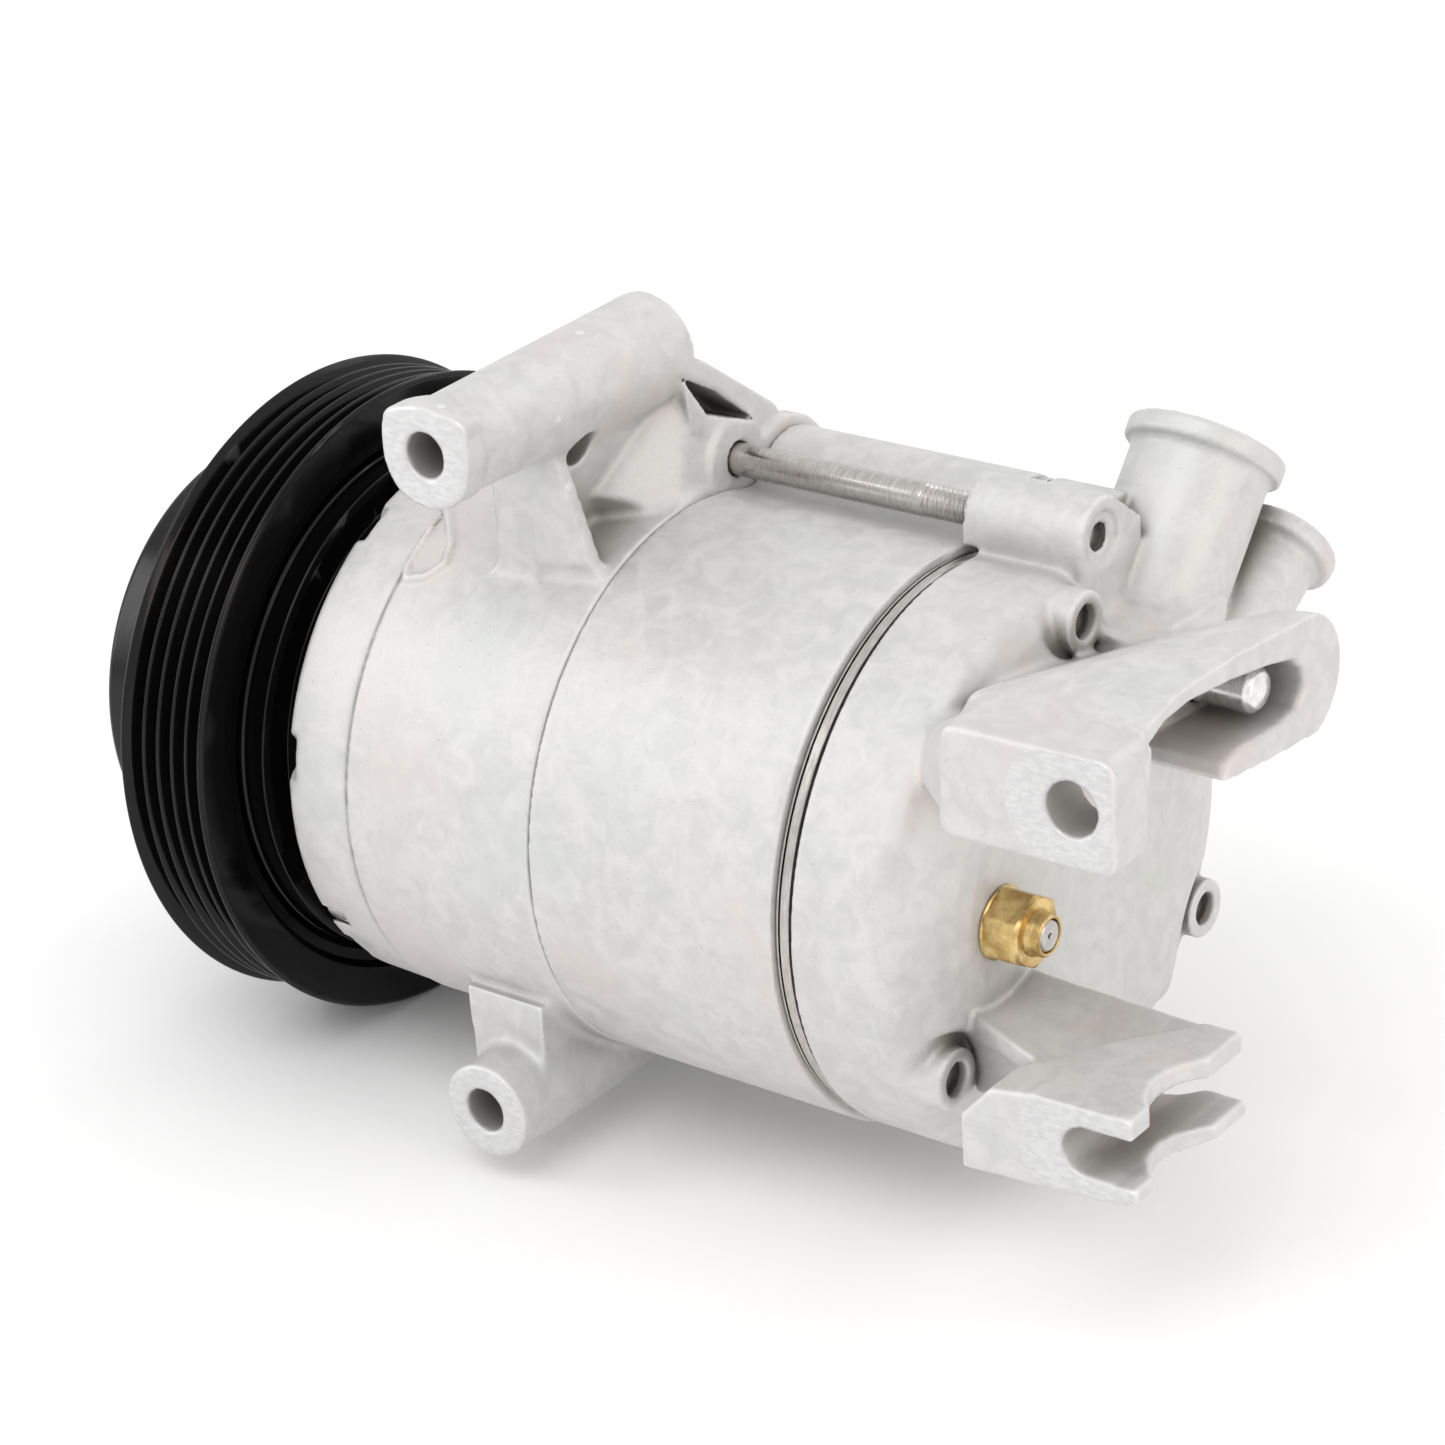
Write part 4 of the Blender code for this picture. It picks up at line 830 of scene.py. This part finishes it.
def hook_shape():
    """The hooked wall behind the ear, with its outline seen along the shaft."""
    top = [(-46.0, 52.6), (-41.0, 54.4), (-35.0, 55.9), (-27.0, 56.0), (-15.0, 55.6)]
    far = arc((5.6, 42.6), 11.4, 72, -70, 12)
    bottom = [(-5.6, 33.2), (-18.4, 34.8), (-30.0, 34.2), (-46.0, 34.2)]
    wall = prism(top + far + bottom, 158.0, REAR_X + 6.0)
    wall = minus(wall, box((150.0, -60.0, 20.0), (169.0, -31.0, 60.0), 2.0), 1.2)
    slope = half_space((170, -46, 53.7), (-0.437, 0.207, 1))
    return within(wall, slope, 2.4)


def ear_shape():
    side = soften([(170.0, 33.6), (187.0, 33.4), (202.7, 33.4), (202.7, 53.4), (171.0, 53.0)], 3.2, 6)
    return prism(side, RAW_Y, -44.5, "Y")


def add_hook(f):
    f.add(hook_shape(), 2.4)
    f.add(ear_shape(), 1.6)
    f.add(hull([
        (171, -55, 35), (171, -55, 52), (174, -40, 34.6), (174, -40, 52), (152, -37, 31),
        (152, -32, 39), (160, -24, 31), (172, -20, 45),
    ], 1.5), 2.6)


def cut_hook(f):
    """The open pocket of the hook, which gets narrower and deeper towards its root."""
    mouth = [
        (-23.0, 31.0), (-44.2, 31.0), (-44.2, 46.4), (-42.7, 50.0), (-37.6, 52.3), (-30.0, 52.9),
        (-17.1, 51.5), (-5.1, 49.4), (2.0, 47.6), (5.4, 44.6), (5.8, 41.4), (3.4, 38.9),
        (-1.9, 38.0), (-15.5, 39.1), (-19.5, 38.6),
    ]
    deep = [
        (-24.5, 30.0), (-44.0, 30.0), (-44.0, 44.0), (-42.0, 47.8), (-37.0, 49.9), (-30.0, 49.4),
        (-20.0, 46.8), (-12.0, 43.8), (-16.0, 40.3), (-21.0, 36.5),
    ]
    root = [(-24.0, 30.0), (-44.0, 30.0), (-44.0, 44.0), (-30.0, 45.0), (-22.0, 42.0)]
    f.cut(prism(mouth, POCKET_X, 215.0), 1.6)
    f.cut(prism(deep, POCKET_X - 10.0, 215.0), 3.0)
    f.cut(prism(root, POCKET_X - 20.0, 215.0), 3.0)


def add_fork(f):
    """The slotted lug: a milled block, the scooped ridge above it and its root on the head."""
    outline = [
        (171.6, -17.0), (177.5, -10.6), (185.5, -9.2), (203.4, -8.7), (204.4, -8.7), (204.4, -12.6),
        (201.0, -12.6), (201.0, -21.4), (205.2, -20.8), (205.2, -23.8), (202.6, -25.0),
        (171.6, -27.0),
    ]
    waist = rod(12.0, -40, 10, (212.5, -41.0, 0), (0, 0, 1))
    scoop = rod(SCOOP_R, -80, 80, (180.0, -33.0, SCOOP_R - 12.2), (1.0, -0.22, -0.06))
    side = half_space((171.6, MOUNT_Y + 1.5, 0), (-0.787, 0.617, 0))
    lug = minus(within(prism(outline, RAW_Y, -21.5, "Y"), side, 0.8), waist, 0.8)
    ridge = hull([
        (159.4, -36, -7.0), (191, -48.5, -7.0), (203, -55.8, -8.8), (203.4, -22, -9.6),
        (157, -19, -6.5), (159.4, -36, -22), (191, -48.5, -22), (203, -55.8, -12.2),
        (157, -19, -20), (203.4, -22, -12.2),
    ], 0.4)
    ridge = minus(minus(ridge, waist, 0.8), scoop, 1.2)
    root = hull([
        (160, -35.5, -20), (175, -41.5, -20), (160, -35.5, -26.5), (178, -43, -27),
        (157, -16, -26), (173, -21.5, -26), (157, -20, -9), (173, -21.5, -12),
    ], 0.8)
    clearance = rod(BOSS_R + 1.0, 150.0, 176.0, (0, *polar(BOLT_CIRCLE_R, BOLT_DEG[1])))
    fork = merged(merged(lug, ridge, 0.6), root, 1.6)
    f.add(minus(fork, clearance, 1.5), 1.0)


def head_field():
    f = Field((130.4, MOUNT_Y - 3, -56.0), (208.6, 76.0, 74.0))
    f.add(turned_shape((0, 0, 0), (1, 0, 0), [
        (130.0, HEAD_R), (152.3, HEAD_R), (154.1, 51.2), (155.5, 49.8), (157.4, 47.0), (159.2, 43.4),
        (160.6, 40.0), (161.6, 37.0), (END_X, 34.0),
    ]), 0)
    for moat in bolt_rods(BOSS_R + 2.2, BOSS_X - 2.8, 175.0):
        f.cut(moat, 2.0)
    for boss in bolt_rods(BOSS_R, 145.0, BOSS_X):
        f.add(boss, 0.7)
    tie_block = [(7.3, 44)] + arc(TIE, TIE_BOSS_R, 180, 60, 10) + [(27.0, 55.5), (27.0, 40)]
    f.add(prism(tie_block, 130.0, 156.2), 1.8)
    f.add(rod(GALLERY_R, 130.0, 150.0, (0, *GALLERY)), 3.5)
    f.add(rod_y(9.6, CONTROL[0], CONTROL[1], -6.0, 36.0), 3.0)
    f.keep(half_space((HEAD_X, 0, 0), (-1, 0, 0)), 0.4)
    end = arc(TIE, 7.2, 180, 0, 14)
    f.add(prism([(7.5, 52.3)] + end + [(20.4, 53.7), (19.5, 52.4)], HEAD_X - 3.2, 146.0), 0.6)
    add_hook(f)
    add_fork(f)
    f.add(radial([
        (32, 12.8), (74.6, 12.7), (75.6, 13.2), (76.0, 14.3), (76.5, 14.5), (79.3, 14.5), (79.9, 13.9),
    ], PORT_X, PORT_DEG), 0.8)
    f.add(hull([
        (150, 6, 30), (150, 6, 46), (168.6, 6, 41), (168.6, 6, 31), (150, 36, 30), (150, 38, 40),
        (168.4, 36, 39.6), (168.4, 34, 33),
    ], 0.8), 1.6)
    f.add(radial([
        (32, 9.4), (56, 8.2), (70.6, 8.0), (71.4, 8.6), (71.9, 10.2), (72.4, 10.5), (74.9, 10.5),
        (75.4, 10.0),
    ], SIDE_X, SIDE_DEG), 1.5)
    cut_head(f)
    return f


def cut_head(f):
    cut_hook(f)
    chamber = minus(rod(41.8, 120.0, 144.0), rod(30.5, 110.0, 150.0), 0.5)
    f.cut(chamber, 0)
    f.cut(rod(27.0, 120.0, 144.0), 0)
    f.cut(radial([(40, 8.6), (78.4, 8.6), (80.0, 10.0), (99, 10.0)], PORT_X, PORT_DEG), 0.5)
    f.cut(radial([(38, 5.6), (74.2, 5.6), (75.4, 6.6), (99, 6.6)], SIDE_X, SIDE_DEG), 0.4)
    for hole in bolt_rods(BOLT_HOLE_R, 110.0, BOSS_X - 2.2) + bolt_rods(3.1, 150.0, 175.0):
        f.cut(hole, 0.3)
    f.cut(rod_y(4.7, REAR_X, EAR_Z, -70, -38), 0.3)
    slot = arc((REAR_X + 0.6, FORK_Z), 4.3, 90, 270, 14)
    f.cut(prism(slot + [(224.0, FORK_Z - 4.3), (224.0, FORK_Z + 4.3)], -70, -10, "Y"), 0.5)
    f.cut(rod(4.8, 148.0, 180.0, (0, *RELIEF)), 0.3)
    f.cut(rod_y(7.8, CONTROL[0], CONTROL[1], -3.0, 60.0), 0.3)
    f.cut(rod(4.4, 176.0, POCKET_X + 1.0, (0, *PEG)), 0)
    f.cut(rod(TIE_HOLE_R, 120.0, 154.6, (0, *TIE)), 0.3)
    f.cut(rod(2.5, 150.0, 175.0, (0, *TIE)), 0.3)
    f.cut(rod(4.7, 155.4, 175.0, (0, *TIE)), 0.3)
    f.keep(half_space((0, MOUNT_Y, 0), (0, -1, 0)), 0.5)


field_piece("front_casting", front_field(), "case", ["front_housing"])
field_piece("block_casting", block_field(), "case", ["cylinder_block"])
field_piece("head_casting", head_field(), "case", ["rear_head"])
turned("bearing_neck", [
    (-13.0, 14.0), (-13.0, 17.2), (-10.9, 17.2), (-10.9, 15.4), (-9.0, 15.4), (-9.0, 17.2),
    (9.4, 17.2), (9.4, 21.8), (12.4, 21.8), (12.4, 24.2), (14.1, 24.2), (14.1, 22.4),
    (15.9, 22.4), (15.9, 24.2), (NOSE_X + 1.6, 24.2), (NOSE_X + 1.6, 8.3), (4.5, 8.3), (4.5, 14.0),
], "case", ["front_housing"], "cast_aluminium", around=96, soft=0.3)


# ---------------------------------------------------------------- pulley and clutch


def pulley_profile():
    half = 8.9
    pitch = 3.56
    profile = [
        (-12.0, 27.8), (-12.0, 51.5), (-10.9, 54.5), (-10.3, 61.8), (-9.9, 62.5), (-half - 0.5, 62.5),
    ]
    for i in range(5):
        start = -half + i * pitch
        middle = start + pitch / 2
        profile += [
            (start + 0.25, 61.4), (middle - 0.28, 58.6), (middle + 0.28, 58.6), (start + pitch - 0.25, 61.4),
        ]
    return profile + [
        (half + 0.5, 62.5), (9.9, 62.5), (PULLEY_BACK_X, 61.8), (PULLEY_BACK_X, 54.6), (8.6, 53.6),
        (8.6, 51.2), (-8.4, 51.2), (-8.4, 33.2), (9.2, 33.2), (9.2, 27.8),
    ]


turned("pulley_wheel", pulley_profile(), "pulley_body", ["pulley"], "black_paint", around=240, soft=0.35)
turned("coil_body", [
    (-7.9, 33.8), (-7.9, 36.3), (11.5, 36.3), (11.5, 47.6), (-7.9, 47.6), (-7.9, 50.2),
    (9.0, 50.4), (9.4, 49.9), (14.0, 50.0), (14.4, 48.6), (14.6, 44.0), (20.6, 44.0), (20.6, 24.5),
    (16.2, 24.5), (16.2, 33.8),
], "case", ["field_coil"], "black_paint", around=200, soft=0.3)
turned("hub_cover", [
    (-32.4, 27.3), (-32.4, 38.0), (-33.2, 39.6), (-33.2, 42.4), (-32.2, 43.4), (-18.6, 43.4),
    (-17.0, 45.6), (-17.0, 33.0), (-19.2, 33.0), (-19.2, 41.0), (-29.8, 41.0), (-29.8, 29.6), (-23.0, 29.6),
    (-23.0, 27.3),
], "clutch_body", ["hub_pan"], "black_paint", around=200, soft=0.8)
turned("hub_centre", [
    (-29.6, 6.3), (-29.6, 11.0), (-31.4, 11.6), (-31.4, 19.6), (-22.6, 19.6), (-22.6, 17.0),
    (-26.4, 17.0), (-26.4, 10.8), (-14.0, 10.8), (-14.0, 6.3),
], "shaft_body", ["clutch_hub"], "dark_steel", around=120, soft=0.5)
turned("damper_rubber", [
    (-30.6, 19.9), (-31.4, 22.2), (-31.4, 24.8), (-30.6, 26.9),
    (-23.4, 26.9), (-22.8, 24.8), (-22.8, 22.2), (-23.4, 19.9),
], "shaft_body", ["damper_ring"], "black_rubber", around=120, soft=0.6)


def ring_slot(start):
    return arc((0, 0), 40.4, start, start + 90, 30) + arc((0, 0), 38.2, start + 90, start, 30)


def ring_circle(radius, around=AROUND, centre=(0, 0)):
    return arc(centre, radius, 0, 360 - 360 / around, around - 1)


plate(
    "armature_disc", ring_circle(49.5), [ring_circle(29.0)] + [ring_slot(s) for s in (10, 130, 250)],
    -16.7, -12.5, "clutch_body", ["armature_plate"], "dark_steel", 0.3,
)

# ---------------------------------------------------------------- plates between block and head


def lobed(radius, lobe):
    """A circle joined to the gallery's lobe."""
    reach = math.hypot(*GALLERY)
    aim = math.degrees(math.atan2(GALLERY[1], GALLERY[0]))
    a = math.degrees(math.acos((radius ** 2 + reach ** 2 - lobe ** 2) / (2 * radius * reach)))
    b = math.degrees(math.acos((lobe ** 2 + reach ** 2 - radius ** 2) / (2 * lobe * reach)))
    case = arc((0, 0), radius, aim + a, aim + 360 - a, 140)
    gallery = arc(GALLERY, lobe, aim - 180 + b, aim + 180 - b, 40)
    return case[:-1] + gallery[:-1]


def plate_holes(bore_circle, bore_hole):
    holes = [ring_circle(BOLT_HOLE_R, 24, polar(BOLT_CIRCLE_R, deg)) for deg in BOLT_DEG]
    for i in range(6):
        holes.append(ring_circle(bore_hole, 24, polar(bore_circle, FIRST_BORE_DEG + 60 * i)))
    return holes


sheet = lobed(51.2, 10.4)
inner_holes = plate_holes(23.0, 2.6)
plate("reed_sheet", sheet, inner_holes, 132.0, 132.4, "case", ["suction_reed"], "bright_steel", 0.1)
port_holes = plate_holes(38.5, 3.2) + inner_holes[len(BOLT_DEG):]
plate("port_plate", sheet, port_holes, 132.7, 134.5, "case", ["valve_plate"], "bright_steel", 0.2)

# ---------------------------------------------------------------- bolts


def threaded_bolt(name, radius, low, high, thread_low, thread_high, body, nodes, origin, pitch=1.0):
    """A bar along X with a helical thread on part of its length and chamfered ends."""
    around = 40
    depth = 0.5
    rows = []
    x = low
    while x < high - 1e-6:
        rows.append(x)
        if thread_low - 0.6 <= x < thread_high:
            x += pitch / 8
        elif x < thread_low:
            x += min(2.0, max(thread_low - x, 0.3))
        else:
            x += 2.0
    rows.append(high)
    verts = [(low, *origin)]
    rings = []
    for x in rows:
        rings.append(range(len(verts), len(verts) + around))
        taper = min(1.0, (x - low + 0.25) / 0.8, (high - x + 0.25) / 0.8)
        for i in range(around):
            share = (x / pitch - i / around) % 1.0
            fade = min(1.0, max(0.0, (x - thread_low) / 1.2)) if x < thread_high else 0.0
            cut = depth * abs(2 * share - 1) * fade
            r = radius * (0.82 + 0.18 * taper) - cut
            u, v = polar(r, 360 * i / around)
            verts.append((x, origin[0] + u, origin[1] + v))
    verts.append((high, *origin))
    faces = skin(rings)
    for i in range(around):
        j = (i + 1) % around
        faces.append((0, rings[0][j], rings[0][i]))
        faces.append((rings[-1][i], rings[-1][j], len(verts) - 1))
    return add_piece(name, mesh_of(name, verts, faces, 50), body, nodes, "bright_steel")


def hex_head(name, across, low, high, origin, body, nodes, slot, hole=0.0):
    """A hexagon with its corners turned off at both ends, and a hole when one is given."""
    around = 96
    cone = 0.9
    corner = across / math.sqrt(3) - 0.15
    rise = cone * 0.55
    inner = max(hole, 0.02)
    levels = [(low, corner - cone), (low + rise, corner), (high - rise, corner), (high, corner - cone)]
    levels += [(high, inner), (low, inner)]
    verts = []
    rings = []
    for x, reach in levels:
        rings.append(range(len(verts), len(verts) + around))
        for i in range(around):
            a = math.tau * i / around
            side = (a + math.pi / 6) % (math.pi / 3) - math.pi / 6
            r = min(across / 2 / math.cos(side), reach)
            verts.append((x, origin[0] + r * math.cos(a), origin[1] + r * math.sin(a)))
    return add_piece(name, mesh_of(name, verts, skin(rings + rings[:1]), 24), body, nodes, slot)


threaded_bolt("tie_bolt_bar", 3.0, 55.5, 153.6, 119.5, 153.0, "case", ["tie_bolt"], TIE)
hex_head("tie_bolt_head", 10.0, 50.8, 56.6, TIE, "case", ["tie_bolt"], "bright_steel")
for number, deg in enumerate(BOLT_DEG, 1):
    where = polar(BOLT_CIRCLE_R, deg)
    bolt = [f"through_bolt_{number}"]
    threaded_bolt(f"long_bolt_{number}", 3.5, 26.0, BOSS_X - 2.5, 138.0, BOSS_X - 2.7, "case", bolt, where)
    turned(f"long_bolt_head_{number}", [
        (22.4, 3.4), (22.4, 5.0), (22.9, 5.6), (27.2, 5.6), (27.2, 0.0), (25.2, 0.0), (24.9, 3.0),
    ], "case", bolt, "bright_steel", (0, *where), around=48, soft=0.25)
hex_head("shaft_nut", 14.0, -35.6, -30.0, (0, 0), "shaft_body", ["hub_nut"], "bright_steel", 4.9)

# ---------------------------------------------------------------- valves, plug and lead

valve = ["relief_valve_body"]
hex_head("relief_hexagon", 12.0, END_X + 0.3, END_X + 7.4, RELIEF, "case", valve, "valve_brass", 3.0)
turned("relief_tube", [
    (152.0, 1.6), (152.0, 4.4), (168.0, 4.4), (169.6, 4.2), (170.4, 3.8), (171.6, 3.8), (172.0, 3.5),
    (172.0, 3.0), (156.0, 3.0), (154.0, 1.6),
], "case", valve, "valve_brass", (0, *RELIEF), around=AROUND_SMALL, soft=0.25)
turned("relief_collar", [
    (END_X, 4.4), (END_X, 6.2), (END_X + 0.35, 6.6), (END_X + 0.7, 6.2), (END_X + 0.7, 4.4),
], "case", valve, "valve_brass", (0, *RELIEF), around=AROUND_SMALL, soft=0.1)
turned("relief_end_plug", [
    (169.3, 0.4), (169.3, 2.9), (171.6, 2.9), (172.0, 2.5), (172.0, 0.6), (171.7, 0.4),
], "case", ["relief_plug"], "bright_steel", (0, *RELIEF), around=AROUND_SMALL, soft=0.15)
turned("peg", [
    (176.4, 0.0), (176.4, 4.1), (196.2, 4.1), (197.3, 3.2), (197.7, 1.4), (197.8, 0.0),
], "case", ["pocket_plug"], "machined_aluminium", (0, *PEG), around=AROUND_SMALL, soft=0.3)
turned("valve_cartridge", [
    (-1.5, 0.0), (-1.5, 4.5), (10.0, 5.2), (10.0, 7.5), (14.0, 7.5), (15.0, 6.4), (20.0, 6.4), (21.0, 7.5),
    (32.5, 7.5), (32.5, 5.0), (35.0, 5.0), (35.0, 2.2), (34.2, 1.8), (34.2, 0.0),
], "case", ["control_valve"], "bright_steel", (CONTROL[0], 0, CONTROL[1]), (0, 1, 0), AROUND_SMALL, 0.3)
turned("valve_clip", [
    (33.0, 5.4), (33.0, 7.5), (34.0, 7.5), (34.0, 5.4),
], "case", ["control_valve_ring"], "dark_steel", (CONTROL[0], 0, CONTROL[1]), (0, 1, 0), AROUND_SMALL, 0.2)


def swept(name, path, radius, body, nodes, slot):
    """A round bar along a path rounded through its points."""
    around = 20
    points = []
    for i in range(len(path) - 1):
        a, b, c, d = (Vector(path[max(0, min(len(path) - 1, i + k))]) for k in (-1, 0, 1, 2))
        for k in range(8):
            t = k / 8
            bend = (2 * a - 5 * b + 4 * c - d) * t * t + (3 * b - a - 3 * c + d) * t ** 3
            points.append(0.5 * (2 * b + (c - a) * t + bend))
    points.append(Vector(path[-1]))
    side = Vector((1, 0, 0)).cross(points[-1]).normalized()
    verts = []
    rings = []
    for i, point in enumerate(points):
        rings.append(range(len(verts), len(verts) + around))
        along = points[min(i + 1, len(points) - 1)] - points[max(i - 1, 0)]
        up = along.cross(side).normalized()
        for k in range(around):
            u, v = polar(radius, 360 * k / around)
            verts.append(point + u * side + v * up)
    faces = skin(rings) + [tuple(rings[0]), tuple(rings[-1])]
    return add_piece(name, mesh_of(name, verts, faces, 50), body, nodes, slot)


lead_points = [(11.5, LEAD_R), (15.4, LEAD_R), (17.4, 48.0), (17.6, 55.0), (19.4, 58.0), (27.6, PLUG_R)]
lead_path = [(x, *polar(r, LEAD_DEG)) for x, r in lead_points]
swept("coil_wire", lead_path, 1.25, "case", ["coil_lead"], "black_rubber")


def connector():
    """The two-pole plug housing with a latch ridge, turned to stand on the lead's line."""
    f = Field((25.6, -8.0, -7.0), (46.8, 8.0, 8.4))
    f.add(box((27.3, -6, -4.5), (45.0, 6, 4.5), 1.4), 0)
    f.add(box((26.6, -3.4, -2.6), (29.0, 3.4, 2.6), 0.8), 0.8)
    f.add(box((31.0, -2.6, 3.8), (43.0, 2.6, 5.4), 0.5), 0.5)
    f.add(box((33.0, -6.4, -4.9), (34.4, 6.4, 4.9), 0.5), 0.5)
    f.cut(box((38.0, -4.4, -3.0), (50.0, 4.4, 3.0), 0.4), 0)
    return f


field_piece(
    "plug_housing", connector(), "case", ["coil_connector"], "black_plastic",
    Euler((math.radians(LEAD_DEG - 90), 0, 0)), (0, *polar(PLUG_R, LEAD_DEG)),
)

# ---------------------------------------------------------------- nodes that keep their CAD shape

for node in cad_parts.values():
    if node.hide_render:
        continue
    for holder in node.material_slots:
        kind = holder.material.name.split(".")[0]
        holder.material = LOOKS.get(kind, LOOKS["bright_steel"])

# ---------------------------------------------------------------- stage


def floor_look(colour):
    look = Look("pale_floor")
    grain = look.noise(0.02, 3)
    shade = look.mix(look.span(grain, 0.3, 0.7), colour, tuple(0.985 * c for c in colour))
    return look.done(shade, 0.6, 0.0, 0.1)


def make_floor():
    mesh = bpy.data.meshes.new("floor")
    reach = 6.0
    corners = [(-reach, -reach, 0), (reach, -reach, 0), (reach, reach, 0), (-reach, reach, 0)]
    mesh.from_pydata(corners, [], [(0, 1, 2, 3)])
    floor = bpy.data.objects.new("floor", mesh)
    floor.location.z = SHAFT_AT.z + FLOOR_Z * MM
    mesh.materials.append(floor_look((0.93, 0.93, 0.93)))
    bpy.context.scene.collection.objects.link(floor)


def make_light(name, place, size, power, colour):
    data = bpy.data.lights.new(name, "AREA")
    data.color = colour
    data.shape = "RECTANGLE"
    data.size, data.size_y = size
    data.energy = power
    lamp = bpy.data.objects.new(name, data)
    lamp.location = Vector(place) + SHAFT_AT
    lamp.rotation_euler = (Vector(LIT_POINT) - Vector(place)).to_track_quat("-Z", "Y").to_euler()
    bpy.context.scene.collection.objects.link(lamp)


def make_camera():
    data = bpy.data.cameras.new("camera")
    data.sensor_width = 36.0
    data.lens = CAMERA_LENS
    data.clip_start = 0.01
    camera = bpy.data.objects.new("camera", data)
    camera.location = Vector(CAMERA_AT) + SHAFT_AT
    camera.rotation_euler = Euler([math.radians(a) for a in CAMERA_TURN_DEG])
    bpy.context.scene.collection.objects.link(camera)
    bpy.context.scene.camera = camera


def make_world():
    world = bpy.data.worlds.new("studio")
    world.use_nodes = True
    back = world.node_tree.nodes["Background"]
    back.inputs["Color"].default_value = (*WHITE, 1.0)
    back.inputs["Strength"].default_value = 0.95
    bpy.context.scene.world = world


make_floor()
make_world()
make_light("key_softbox", (0.25, -0.75, 1.15), (0.9, 0.7), 4.5, WHITE)
make_light("side_softbox", (-0.9, -0.7, 0.5), (0.35, 0.9), 3.0, WHITE)
make_light("back_softbox", (0.3, 1.1, 0.8), (1.0, 0.5), 1.5, WHITE)
make_light("warm_softbox", (1.1, -0.1, 0.35), (0.5, 0.5), 1.6, (1.0, 0.86, 0.79))
make_camera()
bpy.context.scene.view_settings.view_transform = "Standard"
